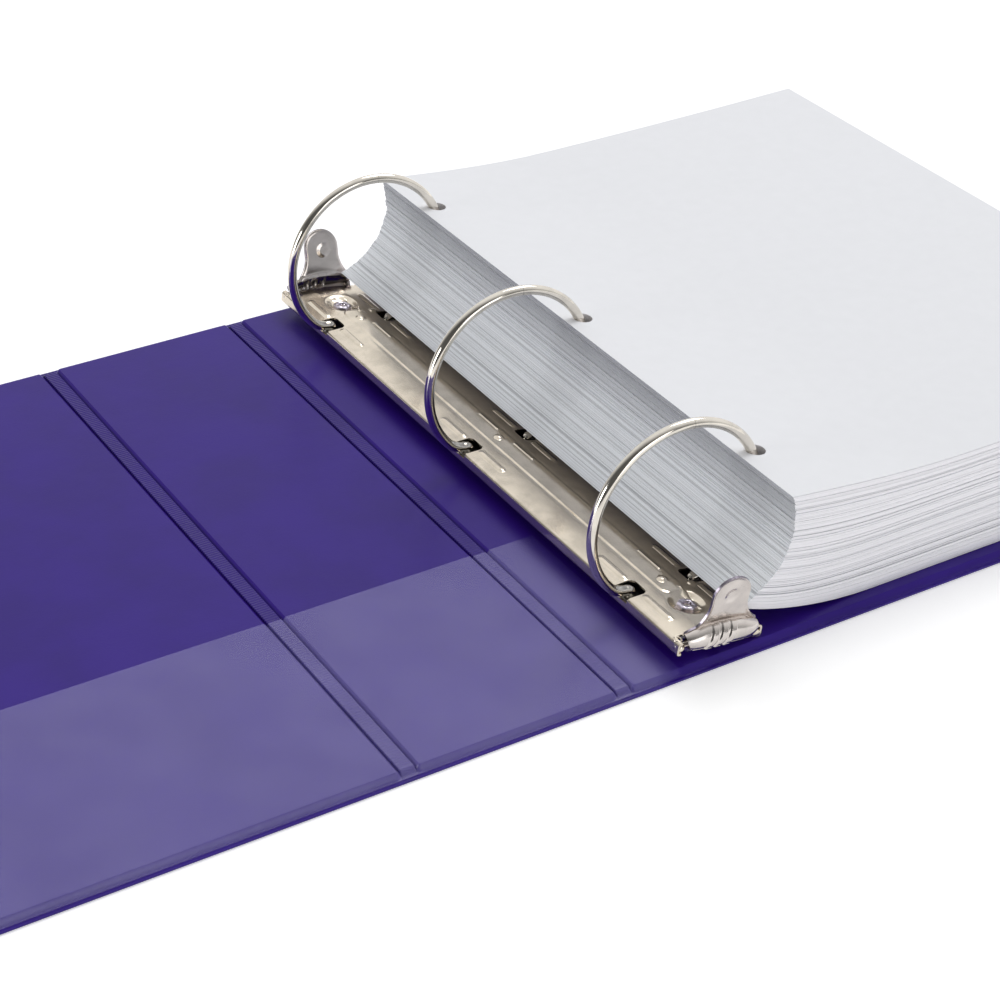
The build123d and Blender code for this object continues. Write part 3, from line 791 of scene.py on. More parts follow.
@dataclass
class Housing:
    """The stamped top plate: flanks, raised middle band, rivet dishes, beads, dimples and notches."""

    mech: Mechanism
    half: float = 18.0 * MM
    end: float = 143.0 * MM
    steel: float = 0.8 * MM
    wall: float = 4.75 * MM
    lip: float = 3.2 * MM
    ridge: float = 6.1 * MM
    flank_in: float = 6.1 * MM
    band: Tuple[float, float, float] = (4.6 * MM, 116.5 * MM, 0.3 * MM)
    bend: float = 1.3 * MM
    notch: Tuple[float, float, float, float] = (9.3 * MM, 4.6 * MM, 2.2 * MM, 2.72 * MM)
    top_short: float = 4.5 * MM
    lip_short: float = 7.0 * MM
    lip_top: float = 1.6 * MM
    rivet_y: float = 123.0 * MM
    dish: Tuple[float, float, float] = (3.9 * MM, 8.0 * MM, 1.45 * MM)
    bead: Tuple[float, float, float] = (6.6 * MM, 1.5 * MM, 0.55 * MM)
    bead_at: Tuple[float, float] = (11.8 * MM, 9.2 * MM)
    dash: Tuple[float, float, float] = (6.4 * MM, 0.55 * MM, 0.4 * MM)
    dash_at: Tuple[float, float] = (3.1 * MM, 12.6 * MM)
    dimple: Tuple[float, float] = (1.9 * MM, 0.85 * MM)
    pip: Tuple[float, float] = (1.9 * MM, 0.8 * MM)
    pip_at: Tuple[float, float] = (9.2 * MM, 113.2 * MM)
    uneven: Tuple[float, float, float, float] = (0.035 * MM, 4.1 * MM, 23.0 * MM, 17.0 * MM)
    shoulder: float = 0.6 * MM
    step: float = 0.45 * MM
    top_corner: float = 1.2 * MM
    runs: Tuple[int, ...] = (4, 6, 30, 14)
    bend_points: int = 8
    ring_lines: Tuple[float, float] = (23.0 * MM, 0.62 * MM)
    end_lines: Tuple[float, float] = (8.0 * MM, 0.5 * MM)
    dish_lines: Tuple[float, float] = (9.0 * MM, 0.7 * MM)
    plain_lines: float = 5.0 * MM
    fade: float = 1.2 * MM

    def section(self) -> Array:
        """The plate's outer line across, from the left lip to the right one.

        Straight runs joined by quarter-like bends: each bend is a quadratic curve whose middle
        control point is the corner.
        """
        corners = [(self.half - self.lip, 0.0), (self.half, 0.0), (self.half, self.wall),
                   (self.flank_in, self.ridge), (0.0, self.ridge)]
        line: List[Array] = []
        t = np.linspace(0, 1, self.bend_points)[:, None]
        start = np.array(corners[0])
        for k, count in enumerate(self.runs):
            here, after = np.array(corners[k + 1]), None
            if k + 2 < len(corners):
                after = np.array(corners[k + 2])
            cut = self.bend if k < 2 else self.shoulder
            back = (start - here) / np.linalg.norm(start - here)
            stop = here + back * cut if after is not None else here
            line.append(start + (stop - start) * np.linspace(0, 1, count, endpoint=after is None)[:, None])
            if after is not None:
                ahead = here + (after - here) / np.linalg.norm(after - here) * cut
                line.append(((1 - t) ** 2 * stop + 2 * t * (1 - t) * here + t**2 * ahead)[:-1])
                start = ahead
        right = np.vstack(line)
        left = right[:-1] * [-1, 1]
        return np.vstack([left, right[::-1]])

    def relief(self, x: Array, y: Array) -> Array:
        """Height that pressing adds to the plate.

        The band is a long raised panel with round ends; a dish is a smooth bowl with a rolled
        brim; beads and dashes are round-backed bars; dimples are small domes.
        """
        half, length, rise = self.band
        z = rise * smooth(half - bar_distance(x, y, (0, 0), length - half), -self.step, self.step)
        for side in (-1, 1):
            r = np.hypot(x, y - side * self.rivet_y)
            z = z - self.dish[2] * smooth(self.dish[1] - r, 0, self.dish[1] - self.dish[0])
            z = z + self.dome(x - self.pip_at[0], y - side * self.pip_at[1], *self.pip)
        length, radius, rise = self.bead
        dash_length, dash_radius, dash_rise = self.dash
        for ring in self.mech.ring_y:
            for side in (-1, 1):
                middle = ring + side * (self.notch[1] + self.bead_at[1])
                for bead_x in (-self.bead_at[0], self.bead_at[0]):
                    away = bar_distance(x, y, (bead_x, middle), length) / radius
                    z = z + rise * np.sqrt(np.maximum(1 - away**2, 0)) * smooth(1 - away, 0, 0.25)
                dash_middle = (self.dash_at[0], ring + side * self.dash_at[1])
                away = bar_distance(x, y, dash_middle, dash_length) / dash_radius
                z = z + dash_rise * np.maximum(1 - away**2, 0)
            z = z + self.dome(x, y - ring, *self.dimple)
        height, across, bow, along = self.uneven
        return z + height * np.sin(x / across + 1.7 * np.sin(y / bow)) * np.sin(y / along)

    def dome(self, x: Array, y: Array, radius: float, rise: float) -> Array:
        """Height of a small dome round the origin: rise * sqrt(1 - (r / radius)^2)."""
        return rise * np.sqrt(np.maximum(1 - (np.hypot(x, y) / radius) ** 2, 0))

    def cut(self, points: Array) -> Array:
        """Distance outside the notches and outside the cut-back ends."""
        x, y, z = np.abs(points[:, 0]), points[:, 1], points[:, 2]
        inner, half, corner, floor = self.notch
        keep = np.full(len(points), 1.0)
        for ring in self.mech.ring_y:
            slot = rectangle_distance(x, y, (inner + self.half, ring), (self.half, half), corner)
            keep = np.minimum(keep, np.maximum(slot, floor - z))
        room = self.half - 2.2 * self.steel
        top = rectangle_distance(x, np.abs(y), (0, self.end), (room, self.top_short), self.top_corner)
        keep = np.minimum(keep, np.maximum(top, self.lip_top - z))
        lip = np.maximum(self.end - self.lip_short - np.abs(y), x - room)
        return np.minimum(keep, np.maximum(lip, z - self.lip_top))

    def build(self) -> None:
        """Adds the plate."""
        line = self.section()
        marks = [(y, *self.ring_lines) for y in self.mech.ring_y]
        for side in (-1, 1):
            marks += [(side * self.end, *self.end_lines), (side * self.rivet_y, *self.dish_lines)]
        y = lines(-self.end, self.end, self.plain_lines, marks)
        x, gy = np.meshgrid(line[:, 0], y)
        z = np.broadcast_to(line[:, 1], x.shape)
        upper = smooth(z, self.wall - self.fade, self.wall + 0.1 * MM)
        points = np.stack([x, gy, z + self.relief(x, gy) * upper], -1)
        plate = Shell.grid(points).trimmed(self.cut).thickened(self.steel)
        add_piece("ring_housing", plate.moved(self.mech.place), "back_cover",
                  [Look.NICKEL, Look.NICKEL], ["housing_plate"])


@dataclass
class Eyelet:
    """The rivet's mouth, split into petals and rolled outwards in the housing's dish."""

    mech: Mechanism
    rivet_y: float = 123.0 * MM
    seat: float = 4.86 * MM
    petals: int = 6
    columns: int = 96
    neck: float = 2.45 * MM
    roll: Tuple[float, float] = (1.1 * MM, 0.75 * MM)
    petal: Tuple[float, float] = (0.35 * MM, 0.15 * MM)
    throat: Tuple[Tuple[float, float], ...] = (
        (0.0, -0.9 * MM), (0.7 * MM, -0.9 * MM), (1.0 * MM, -0.7 * MM))
    foot: Tuple[Tuple[float, float], ...] = ((2.9 * MM, -0.4 * MM), (0.0, -1.2 * MM))

    def build(self) -> None:
        """Adds both eyelets: a profile turned round the post, scalloped by a wave at its rim.

        The rolled lip is at radius neck - a cos(q) and height b sin(q), over the angle q, and the
        wave (1 - cos(petals * t)) / 2 pushes its rim out and up.
        """
        turn = np.linspace(0, 2 * math.pi, self.columns + 1)[:-1]
        arc = np.linspace(0, 1, 15)[:, None]
        angle = math.pi * 1.15 * arc
        wave = 0.5 - 0.5 * np.cos(self.petals * turn)
        radius = self.neck - self.roll[0] * np.cos(angle) + arc**2 * self.petal[0] * wave
        height = self.roll[1] * np.sin(angle) * (1 - 0.3 * (1 - wave) * arc) - self.petal[1] * arc**2
        throat, foot = (np.array(part)[:, :, None] + 0 * turn for part in (self.throat, self.foot))
        radius = np.vstack([throat[:, 0], radius, foot[:, 0]])
        height = np.vstack([throat[:, 1], height, foot[:, 1]])
        for name, side in (("near", -1), ("far", 1)):
            points = np.stack([radius * np.cos(turn), side * self.rivet_y + radius * np.sin(turn),
                               self.seat + height], -1)
            shell = Shell.grid(points, wrap=True, flip=True)
            add_piece(f"{name}_eyelet", shell.moved(self.mech.place), "back_cover",
                      [Look.RIVET])


# ---------------------------------------------------------------- levers
@dataclass
class Lever:
    """An end lever: thumb tab with a turned rim, ribbed barrel, end walls, trunnions and prongs."""

    mech: Mechanism
    axis_y: float = 141.0 * MM
    steel: float = 0.8 * MM
    half: float = 15.2 * MM
    foot_half: float = 12.8 * MM
    tab_half: float = 7.8 * MM
    waist: float = 16.0 * MM
    flare: float = 12.0 * MM
    spread: float = 2.0
    sway: Tuple[float, float, float] = (0.5 * MM, 0.12, 10.0 * MM)
    tab_top: Tuple[float, float] = (5.0 * MM, 27.0 * MM)
    root: Tuple[float, float] = (1.1 * MM, 7.0 * MM)
    bulge: Tuple[float, float] = (4.9 * MM, 2.4 * MM)
    bottom: Tuple[float, float] = (2.4 * MM, -1.6 * MM)
    arch: Tuple[float, float] = (7.9 * MM, 3.2 * MM)
    ribs: Tuple[float, float, float] = (-5.6 * MM, -1.8 * MM, 2.0 * MM)
    rib: Tuple[float, float, float] = (1.5 * MM, 0.62 * MM, 0.36)
    rim: Tuple[float, float] = (0.5 * MM, 0.8 * MM)
    crease: Tuple[float, float, float] = (0.55 * MM, 0.045, 0.035)
    ledge: Tuple[float, float, float] = (0.3 * MM, 0.13, 0.04)
    dent: Tuple[float, float, float] = (0.2 * MM, 18.4 * MM, 3.6 * MM)
    dent_depth: Tuple[float, float] = (0.55 * MM, 2.4 * MM)
    over: Tuple[float, float] = (0.6 * MM, 0.25 * MM)
    rows: int = 44
    tab_rows: int = 74
    prong_tips: Tuple[Tuple[float, float], ...] = ((-5.7 * MM, -3.1 * MM), (-6.3 * MM, -0.6 * MM))
    prong_roots: Tuple[Tuple[float, float], ...] = ((2.0 * MM, -1.6 * MM), (4.0 * MM, 1.2 * MM))
    prong_half: Tuple[float, float] = (0.4 * MM, 0.28 * MM)
    wall_arc: Tuple[float, float, float] = (3.1 * MM, 1.6 * MM, 2.9 * MM)
    wall_middle: Tuple[float, float] = (0.3 * MM, 0.6 * MM)
    egg: Tuple[Point, Point, float, float] = ((-16.1, -0.2, -0.5), (2.0, 2.4, 2.1), 1.0, 0.0)
    leaf: Tuple[Point, Point, float, float] = ((16.0, 1.5, -1.3), (3.1, 0.65, 1.7), 1.6, 0.28)
    curl_at: Point = (-16.2 * MM, -1.2 * MM, 1.75 * MM)
    curl_tube: Point = (1.35 * MM, 0.38 * MM, 0.42 * MM)

    def junction(self, x: Array) -> Array:
        """Height where the tab meets the barrel: a parabola, highest in the middle."""
        return self.arch[0] - self.arch[1] * (x / self.half) ** 2

    def inside(self, x: Array, v: Array) -> Array:
        """Distance inside the tab's bell.

        Its top is a half disc. Below that the half width grows by flare * ((waist - v) / waist)^spread,
        and the sideways distance is turned square to that edge.
        """
        x = x - self.sway[0] + self.sway[1] * (v - self.sway[2])
        crown = self.tab_top[1] - self.tab_half
        share = np.maximum(self.waist - v, 0) / self.waist
        width = self.tab_half + self.flare * share**self.spread
        slope = self.spread * self.flare / self.waist * share ** (self.spread - 1)
        side = (width - np.abs(x)) / np.sqrt(1 + slope**2)
        return np.where(v > crown, self.tab_half - np.hypot(x, v - crown), side)

    def sheet(self) -> Shell:
        """The pressed sheet: columns run across, rows climb the barrel's arc and then the tab."""
        t = lines(-1.0, 1.0, 0.02, [(0, 0.55, 0.013)])
        centre, radius = circle_through(*(np.array(p) for p in (self.root, self.bulge, self.bottom)))
        start, stop = (math.atan2(p[1] - centre[1], p[0] - centre[0]) for p in (self.bottom, self.root))
        angle = np.linspace(start, stop, self.rows)[:, None]
        climb = np.linspace(0, 1, self.rows)[:, None]
        half = self.foot_half + (self.half - self.foot_half) * smooth(climb, 0.0, 0.7)
        x = half * t
        low = self.bottom[1]
        arc_v = centre[1] + radius * np.sin(angle)
        stretch = (self.junction(x) - low) / (self.root[1] - low)
        v = low + (arc_v - low) * stretch
        taper = 1 - 0.35 * np.abs(t) ** 5
        u = self.root[0] + (centre[0] + radius * np.cos(angle) - self.root[0]) * taper
        rib_half, rib_rise, slant = self.rib
        fade = smooth(climb, 0.0, 0.06) * smooth(1 - climb, 0.0, 0.1)
        for rib_x in self.ribs:
            away = (x - rib_x - slant * (v - self.bulge[1])) / rib_half
            u = u + rib_rise * smooth(1 - np.abs(away), 0.0, 0.32) * fade
        height, place, width = self.ledge
        u = u + height * np.exp(-(((climb - place) / width) ** 2)) * (np.abs(t) < 0.97)
        depth, below, above = self.crease
        u = u - depth * np.exp(-(((1 - climb) / below) ** 2))
        up = np.linspace(0, 1, self.tab_rows)[1:, None]
        tab_x = self.half * t + 0 * up
        tab_v = self.junction(tab_x) + (self.tab_top[1] + self.over[0] - self.junction(tab_x)) * up
        lean = (self.tab_top[0] - self.root[0]) / (self.tab_top[1] - self.root[1])
        tab_u = self.root[0] + (tab_v - self.root[1]) * lean
        tab_u = tab_u - depth * np.exp(-((up / above) ** 2))
        edge = self.inside(tab_x, tab_v)
        tab_u = tab_u + self.rim[0] * np.exp(-((np.maximum(edge, 0) / self.rim[1]) ** 2))
        away = np.hypot(tab_x - self.dent[0], tab_v - self.dent[1])
        tab_u = tab_u - self.dent_depth[0] * smooth(self.dent[2] - away, 0, self.dent_depth[1])
        shell = Shell.grid(np.stack([np.vstack([x, tab_x]), np.vstack([u, tab_u]),
                                     np.vstack([v, tab_v])], -1))
        return shell.trimmed(lambda p: np.maximum(self.inside(p[:, 0], p[:, 2]),
                                                  self.junction(p[:, 0]) + self.over[1] - p[:, 2]))

    def end_wall(self, side: int) -> Shell:
        """The barrel's end, a thick plate whose outline is the barrel's own arc and the axis."""
        turn = np.linspace(-0.55 * math.pi, 0.62 * math.pi, 30)
        front, back, tall = self.wall_arc
        u = self.wall_middle[0] + np.where(np.cos(turn) > 0, front, back) * np.cos(turn)
        v = self.wall_middle[1] + tall * np.sin(turn)
        u, v = np.append(u, -back), np.append(v, 0.0)
        ring = np.stack([u, v], -1)
        middle = ring.mean(axis=0)
        x = side * np.array([12.2, 12.2, 12.4, 13.2, 13.4, 13.4]) * MM
        size = np.array([0.0, 0.98, 1.0, 1.0, 0.98, 0.0])
        spread = middle + (ring - middle) * size[:, None, None]
        points = np.dstack([np.broadcast_to(x[:, None], spread.shape[:2]), spread])
        return Shell.grid(points, wrap=True, flip=side < 0)

    def trunnion(self, side: int) -> Shell:
        """A round pin along X whose tip is a low dome."""
        x = side * np.array([11.5, 11.5, 13.4, 16.9, 17.5, 17.95, 18.1, 18.15]) * MM
        radius = np.array([0.0, 1.0, 1.0, 1.0, 0.98, 0.8, 0.45, 0.0]) * MM
        turn = np.linspace(0, 2 * math.pi, 25)[:-1]
        points = np.stack([np.broadcast_to(x[:, None], (8, 24)), radius[:, None] * np.cos(turn),
                           radius[:, None] * np.sin(turn)], -1)
        return Shell.grid(points, wrap=True, flip=side < 0)

    def prong(self, tip: Tuple[float, float], root: Tuple[float, float]) -> Shell:
        """A flat bar from the barrel to the blades with a round nose: a capsule swept along X."""
        a, b = np.array(tip), np.array(root)
        along = (b - a) / np.linalg.norm(b - a)
        across = np.array([-along[1], along[0]])
        turn = np.linspace(0.5 * math.pi, 1.5 * math.pi, 9)
        tip_half, root_half = self.prong_half
        nose = a + tip_half * (np.cos(turn)[:, None] * along + np.sin(turn)[:, None] * across)
        ring = np.vstack([nose, b - root_half * across, b + root_half * across])
        x = np.array([-1.6, -1.6, -1.45, 1.45, 1.6, 1.6]) * MM
        size = np.array([0.0, 0.9, 1.0, 1.0, 0.9, 0.0])
        middle = ring.mean(axis=0)
        spread = middle + (ring - middle) * size[:, None, None]
        points = np.dstack([np.broadcast_to(x[:, None], spread.shape[:2]), spread])
        return Shell.grid(points, wrap=True)

    def lug(self, side: int) -> Shell:
        """The housing's curled corner round the trunnion: an egg, pinched to a leaf on the right.

        A point is middle + size * (-cos p, sin^pinch p cos t, sin^pinch p sin t + droop * cos p),
        over the angles p from end to end and t around.
        """
        polar = np.linspace(0, math.pi, 17)[:, None]
        turn = np.linspace(0, 2 * math.pi, 29)[:-1]
        middle, size, pinch, droop = self.egg if side < 0 else self.leaf
        along = -np.cos(polar) + 0 * turn
        across = np.sin(polar) ** pinch
        spread = np.dstack([along, across * np.cos(turn), across * np.sin(turn) - droop * along])
        return Shell.grid((middle + spread * size) * MM, wrap=True)

    def curl(self) -> Shell:
        """A ring of rolled sheet on top of the left lug: a torus."""
        turn = np.linspace(0, 2 * math.pi, 33)
        tube = np.linspace(0, 2 * math.pi, 13)[:-1]
        radius, wide, tall = self.curl_tube
        reach = radius + wide * np.cos(tube)
        around = np.dstack([reach * np.cos(turn)[:, None], reach * np.sin(turn)[:, None],
                            tall * np.sin(tube) + 0 * turn[:, None]])
        points = self.curl_at + around
        return Shell.grid(points, wrap=True, flip=True)

    def outward(self, points: Array) -> Array:
        """Carries points from the near lever's own x, outward and up to the upright layout."""
        return points * [1, -1, 1] + [0, -self.axis_y, self.mech.axis_height]

    def build(self) -> None:
        """Adds both levers and the lugs that hold them; the far ones are the near ones' reflections."""
        lugs = self.lug(-1) + self.lug(1) + self.curl()
        near = lugs.moved(self.outward).turned()
        for name, shell in (("near", near), ("far", near.mirrored())):
            add_piece(f"{name}_housing_lugs", shell.moved(self.mech.place), "back_cover",
                      [Look.NICKEL])
        whole = self.sheet().turned().thickened(self.steel)
        for side in (-1, 1):
            whole = whole + self.end_wall(side) + self.trunnion(side)
        for tip, root in zip(self.prong_tips, self.prong_roots):
            whole = whole + self.prong(tip, root)
        near = whole.moved(self.outward).turned()
        for name, shell in (("near", near), ("far", near.mirrored())):
            add_piece(f"{name}_thumb_lever", shell.moved(self.mech.place), f"{name}_lever",
                      [Look.LEVER, Look.CUT], [f"{name}_trigger"])


# ---------------------------------------------------------------- sheets
@dataclass
class SheetStack:
    """Letter sheets threaded on the rings, as thin sheaves that bow over the mechanism."""

    mech: Mechanism
    wire: float = 1.9 * MM
    hole: float = 3.9 * MM
    slack: float = 0.2 * MM
    width: float = 215.9 * MM
    length: float = 279.4 * MM
    top: Tuple[float, float] = (33.7, 5.3 * MM)
    waist: Tuple[float, float] = (-6.8, 8.7 * MM)
    toe: Tuple[float, float] = (-78.8, 11.4 * MM)
    slopes: Tuple[float, float] = (-0.42, -0.12)
    falls: Tuple[float, float] = (62.0 * MM, 80.0 * MM)
    thickness: float = 47.3 * MM
    sag: float = 1.6 * MM
    crown: float = 0.3 * MM
    hole_block: Tuple[float, float, int] = (10.0 * MM, 6.0 * MM, 8)
    loose: float = 20.0 * MM
    air: Tuple[float, float, float, float] = (0.01 * MM, 0.03 * MM, 0.08 * MM, 0.2 * MM)
    wide_share: float = 0.16
    uneven: Tuple[float, float] = (0.11 * MM, 0.17 * MM)
    stick_out: Tuple[float, float] = (-0.7 * MM, 0.55 * MM)
    far: float = 72.0 * MM
    sheaves: int = 96
    group: int = 8
    seed: int = 5

    def __post_init__(self) -> None:
        """Finds the binding edge's arc and the bed from the frame."""
        self.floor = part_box("paper_stack")[0].z
        self.ring = self.mech.ring_reach - self.wire
        corners = []
        for angle, depth in (self.toe, self.waist, self.top):
            a, r = math.radians(angle), self.ring - depth
            corners.append(self.mech.ring_centre + r * np.array([math.cos(a), math.sin(a)]))
        self.arc_centre, self.arc_radius = circle_through(*corners)
        ends = [math.atan2(*(c - self.arc_centre)[::-1]) for c in (corners[0], corners[2])]
        self.arc = (ends[0], ends[1])
        self.sheet = self.template()

    def template(self) -> Tuple[Shell, float, float]:
        """A flat sheet with three round holes: a grid whose three squares are spun into rings.

        Returns:
            The sheet, with x from the binding edge and y along it, the holes' x and the half
            side of the squares.
        """
        centre, square, cells = self.hole_block
        u = np.concatenate([[0], np.linspace(centre - square, centre + square, cells + 1),
                            np.array([21, 27, 34, 42, 51, 61, 72, 85, 105, 135, 175, 215.9]) * MM])
        pieces, previous = [], -self.length / 2
        for ring in self.mech.ring_y:
            pieces.append(np.linspace(previous, ring - square, 6)[:-1])
            pieces.append(np.linspace(ring - square, ring + square, cells + 1)[:-1])
            previous = ring + square
        pieces.append(np.linspace(previous, self.length / 2, 6))
        y = np.concatenate(pieces)
        gu, gy = np.meshgrid(u, y)
        flat = Shell.grid(np.stack([gu, gy, np.zeros_like(gu)], -1))
        middle = flat.points[flat.quads].mean(axis=1)
        keep = np.ones(len(flat.quads), bool)
        for ring in self.mech.ring_y:
            keep &= np.maximum(np.abs(middle[:, 0] - centre), np.abs(middle[:, 1] - ring)) > square
        sheet = Shell(flat.points, flat.quads[keep])
        rings = []
        for ring in self.mech.ring_y:
            around = np.arange(4 * cells)
            side, step = around // cells, (around % cells) / cells * 2 - 1
            px = np.choose(side, [step, 1.0, -step, -1.0]) * square
            py = np.choose(side, [-1.0, step, 1.0, -step]) * square
            turn = np.arctan2(py, px)
            outer = np.stack([px + centre, py + ring, 0 * px], -1)
            bore = np.stack([centre + self.hole * np.cos(turn), ring + self.hole * np.sin(turn), 0 * px], -1)
            rings.append(Shell.grid(np.stack([bore, outer]), wrap=True, flip=True))
        for ring_shell in rings:
            sheet = sheet + ring_shell
        key = np.round(sheet.points / (0.001 * MM)).astype(np.int64)
        used, back = np.unique(sheet.quads, return_inverse=True)
        _, first, merged = np.unique(key[used], axis=0, return_index=True, return_inverse=True)
        quads = merged.reshape(-1)[back.reshape(-1, 4)]
        return Shell(sheet.points[used][first], quads), centre, square

    def edge(self, t: float) -> Array:
        """Where the sheet at a share t of the stack's thickness has its binding edge."""
        a = self.arc[0] + (self.arc[1] - self.arc[0]) * t
        return self.arc_centre + self.arc_radius * np.array([math.cos(a), math.sin(a)])

    def height(self, t: float, u: Array) -> Array:
        """Height of a sheet at distances u from its binding edge.

        A cubic Hermite curve falls from the edge to the sheet's own level, which a shallow
        parabola then raises towards the fore edge.
        """
        fall = self.falls[0] + (self.falls[1] - self.falls[0]) * t
        slope = self.slopes[0] + (self.slopes[1] - self.slopes[0]) * t
        level = self.floor + self.thickness * t
        low = level - self.sag * t
        s = np.clip(u / fall, 0, 1)
        start = self.edge(t)[1]
        curve = (2 * s**3 - 3 * s**2 + 1) * start + (s**3 - 2 * s**2 + s) * fall * slope
        curve = curve + (3 * s**2 - 2 * s**3) * low
        rest = np.clip((u - fall) / (self.width - fall), 0, 1)
        return curve + (level + self.crown * t - low) * rest * rest

    def hole_at(self, t: float) -> float:
        """Distance of the hole's middle from the binding edge, so that the hole hangs on the wire.

        The wire crosses where the sheet is a ring's radius from the ring's centre. Across the
        sheet it is wire / cos(b) wide, b being the angle between the sheet and the ring's radius.
        """
        u = np.linspace(0, 30 * MM, 301)
        x, z = self.edge(t)[0] + u, self.height(t, u)
        dx, dz = x - self.mech.ring_centre[0], z - self.mech.ring_centre[1]
        away = np.hypot(dx, dz)
        first = int(np.argmax(away >= self.ring))
        slope = np.gradient(z, u)[first]
        cosine = abs(dx[first] + dz[first] * slope) / (away[first] * math.hypot(1, slope))
        return float(u[first] + self.hole - self.slack - self.wire / cosine)

    def laid(self, t: float, jitter: Array) -> Array:
        """The template's points on the sheet at t.

        Args:
            t: Share of the stack's thickness.
            jitter: How far the binding edge, the near end and the far end stick out.

        Returns:
            Points in the binder's frame.
        """
        shell, centre, square = self.sheet
        u, y = shell.points[:, 0].copy(), shell.points[:, 1].copy()
        shift = self.hole_at(t) - centre
        knots = [0, centre - square, centre + square, self.far, self.width]
        moved = [-jitter[0], centre - square + shift, centre + square + shift, self.far,
                 self.width + jitter[0]]
        u = np.interp(u, knots, moved)
        end, still = self.length / 2, self.length / 2 - self.loose
        y = np.interp(y, [-end, -still, still, end], [-end - jitter[1], -still, still, end + jitter[2]])
        start = self.edge(t)
        short = (1.0 + 1.5 * (1 - t)) * MM * smooth(u, 100 * MM, self.width)
        z = self.height(t, np.maximum(u, 0)) + np.minimum(u, 0) * self.slopes[1]
        return np.stack([start[0] + u - short, y, z], -1)

    def build(self) -> None:
        """Adds the sheaves, a group of them to a piece."""
        draw = np.random.default_rng(self.seed)
        share = np.cumsum(np.concatenate([[0], draw.uniform(0.6, 1.4, self.sheaves)]))
        share = share / share[-1]
        gap = draw.uniform(*self.air[:2], self.sheaves) / self.thickness
        wide = draw.uniform(*self.air[2:], self.sheaves) / self.thickness
        gap = np.where(draw.random(self.sheaves) < self.wide_share, wide, gap)
        jitter = draw.normal(0, self.uneven[0], (self.sheaves, 3))
        sets = draw.normal(0, self.uneven[1], (self.sheaves // self.group + 1, 3))
        sets = np.repeat(sets, self.group, axis=0)
        jitter = np.clip(jitter + sets[:self.sheaves], *self.stick_out)
        jitter[-1] = 0
        bound = np.array(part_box("paper_stack")[1])
        template = self.sheet[0]
        for start in range(0, self.sheaves, self.group):
            whole = None
            for k in range(start, min(start + self.group, self.sheaves)):
                low, high = share[k] + gap[k] / 2, share[k + 1] - gap[k] / 2
                upper = Shell(self.laid(high, jitter[k]), template.quads)
                sheaf = upper.bridged(self.laid(low, jitter[k]))
                sheaf.ply = np.concatenate([np.full(len(template.points), v) for v in (high, low)])
                bound_side = np.tile(template.points[:, 0] < 1e-6, 2)[sheaf.quads].all(axis=1)
                sheaf.finish = np.where(bound_side & (sheaf.finish == 1), 2, sheaf.finish)
                whole = sheaf if whole is None else whole + sheaf
            number = start // self.group + 1
            middle = share[min(start + self.group // 2, self.sheaves)]
            hold = np.array([self.edge(middle)[0] + 8 * MM, 0, 0])
            add_piece(f"sheaf_{number:02d}", whole, "back_cover",
                      [Look.FACE, Look.EDGE, Look.BINDING],
                      ["paper_stack"] if number == 1 else (),
                      ("right_rings", "back_cover", hold, np.array([bound[0] - 10 * MM, 0, 0])))


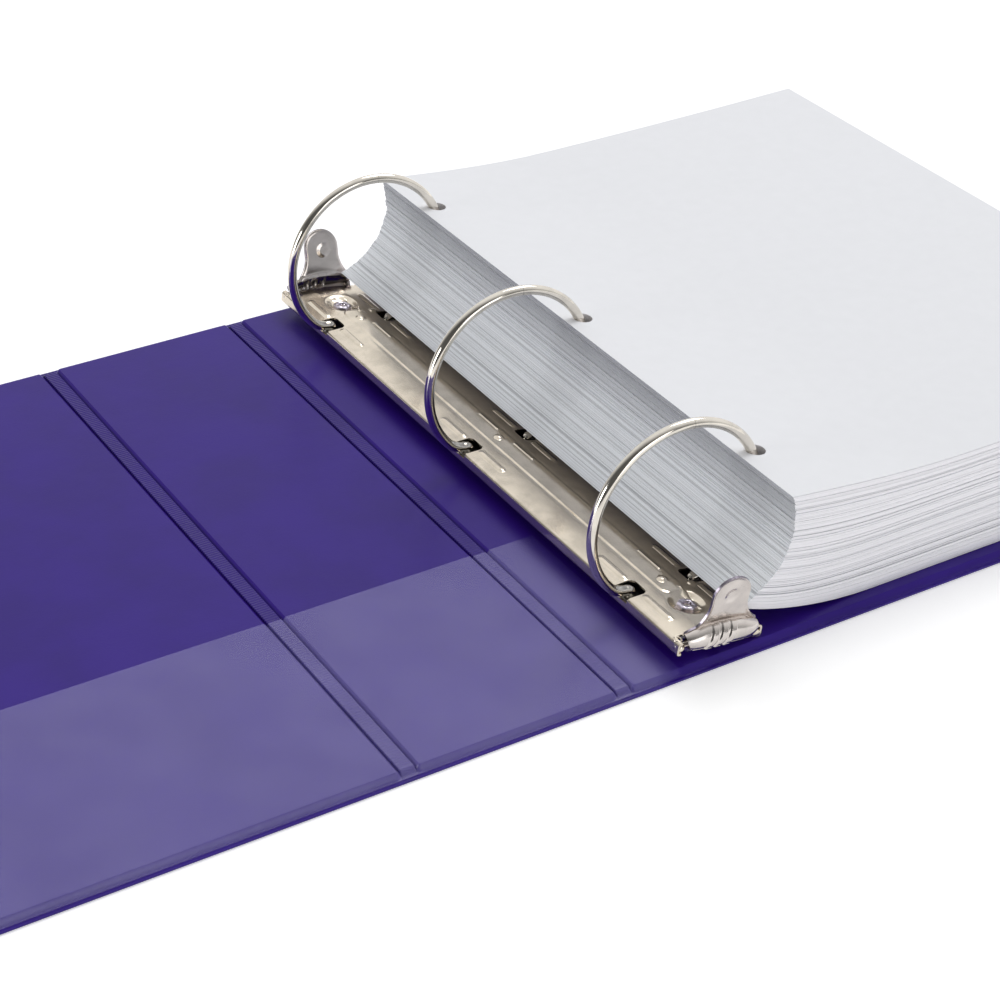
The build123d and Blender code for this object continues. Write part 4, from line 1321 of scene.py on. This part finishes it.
# ---------------------------------------------------------------- room
@dataclass
class Studio:
    """A pale floor, soft lights and the camera."""

    azimuth: float = -31.86
    elevation: float = 32.72
    roll: float = 1.3
    position: Tuple[float, float, float] = (-0.43353, -0.66158, 0.4999)
    lens: float = 87.49
    shift: Tuple[float, float] = (0.0444, -0.0220)
    floor_size: float = 12.0
    bright_side: Tuple[float, float, float] = (0.7, 0.55, 0.42)
    fade: Tuple[float, float, float, float] = (-0.3, 0.75, 0.1, 0.95)

    def add_camera(self) -> None:
        """Adds the camera: its back points along azimuth and elevation, then it rolls."""
        a, e, r = (math.radians(v) for v in (self.azimuth, self.elevation, self.roll))
        back = Vector((math.sin(a) * math.cos(e), -math.cos(a) * math.cos(e), math.sin(e)))
        right = Vector((math.cos(a), math.sin(a), 0.0))
        up = back.cross(right)
        across = right * math.cos(r) + up * math.sin(r)
        upright = up * math.cos(r) - right * math.sin(r)
        data = bpy.data.cameras.new("camera")
        data.lens, data.sensor_width = self.lens, 36.0
        data.shift_x, data.shift_y = self.shift
        data.clip_start, data.clip_end = 0.01, 100.0
        camera = bpy.data.objects.new("camera", data)
        rows = np.column_stack([across, upright, back, self.position])
        camera.matrix_world = Matrix([*map(list, rows), [0, 0, 0, 1]])
        bpy.context.scene.collection.objects.link(camera)
        bpy.context.scene.camera = camera

    def add_floor(self) -> None:
        """Adds the floor, a plain disc of a pale matt finish."""
        turn = np.linspace(0, 2 * math.pi, 65)[:-1]
        radius = np.array([0.0, 0.6, 1.5, self.floor_size])[:, None]
        points = np.stack([radius * np.cos(turn), radius * np.sin(turn),
                           np.full((4, 64), -0.0002)], -1)
        s = Shader.named("floor")
        s.put(Base_Color=(0.93, 0.93, 0.935, 1.0), Roughness=0.8, Emission_Color=(1, 1, 1, 1),
              Emission_Strength=0.3)
        mesh = Shell.grid(points, wrap=True, flip=True).mesh("floor")
        mesh.materials.append(s.material)
        floor = bpy.data.objects.new("floor", mesh)
        bpy.context.scene.collection.objects.link(floor)

    def add_light(self, name: str, place: Tuple[float, float, float], size: float, power: float,
                  colour: Colour = (1, 1, 1), aim: Tuple[float, float, float] = (0, 0, 0.02)) -> None:
        """Adds a square soft light.

        Args:
            name: Its name.
            place: Where it stands.
            size: Its side.
            power: Watts.
            colour: Its colour.
            aim: The point that it faces.
        """
        data = bpy.data.lights.new(name, "AREA")
        data.shape, data.size, data.energy, data.color = "SQUARE", size, power, colour
        light = bpy.data.objects.new(name, data)
        light.location = place
        light.rotation_euler = (Vector(aim) - Vector(place)).to_track_quat("-Z", "Y").to_euler()
        bpy.context.scene.collection.objects.link(light)

    def build(self) -> None:
        """Sets up the room."""
        self.add_camera()
        self.add_floor()
        self.add_light("key_softbox", (1.3, 0.7, 1.7), 1.0, 13.5)
        self.add_light("left_softbox", (-1.9, 0.1, 0.42), 0.8, 14.0)
        self.add_light("front_fill", (0.3, -2.3, 0.45), 1.3, 11.0)
        world = bpy.data.worlds.new("studio")
        s = Shader(world, "Background")
        where = s.node("ShaderNodeTexCoord", {}, {}, "Generated")
        toward = s.node("ShaderNodeVectorMath", {"operation": "DOT_PRODUCT"},
                        {0: where, 1: Vector(self.bright_side).normalized()}, "Value")
        limits = dict(zip(("From Min", "From Max", "To Min", "To Max"), self.fade))
        s.put(Color=(1.0, 1.0, 1.0, 1.0),
              Strength=s.node("ShaderNodeMapRange", {"interpolation_type": "SMOOTHSTEP"},
                              {"Value": toward, **limits}))
        bpy.context.scene.world = world
        bpy.context.scene.view_settings.view_transform = "Standard"


def dress_cad_nodes() -> None:
    """Gives every CAD node that stays in view its own finish."""
    looks = {"outer_skin": Look.VINYL, "ring_left": Look.RING, "ring_right": Look.RING,
             "blade": Look.BLADE, "rivet": Look.RIVET, "trigger": Look.NICKEL, "housing": Look.NICKEL,
             "board": Look.CARD}
    for name, node in frame["nodes"].items():
        for word, look in looks.items():
            if word in name:
                node.data.materials.clear()
                node.data.materials.append(look.material())


def main() -> None:
    """Builds the binder's pieces and the room, in order."""
    logging.basicConfig(level=logging.INFO, format="%(name)s %(message)s")
    Studio().build()
    dress_cad_nodes()
    Covers().build()
    mech = Mechanism()
    Housing(mech).build()
    Eyelet(mech).build()
    Lever(mech).build()
    SheetStack(mech).build()
    log.info("lean origin %s ring centre %s reach %.5f", mech.origin, mech.ring_centre, mech.ring_reach)


if __name__ == "__main__":
    main()
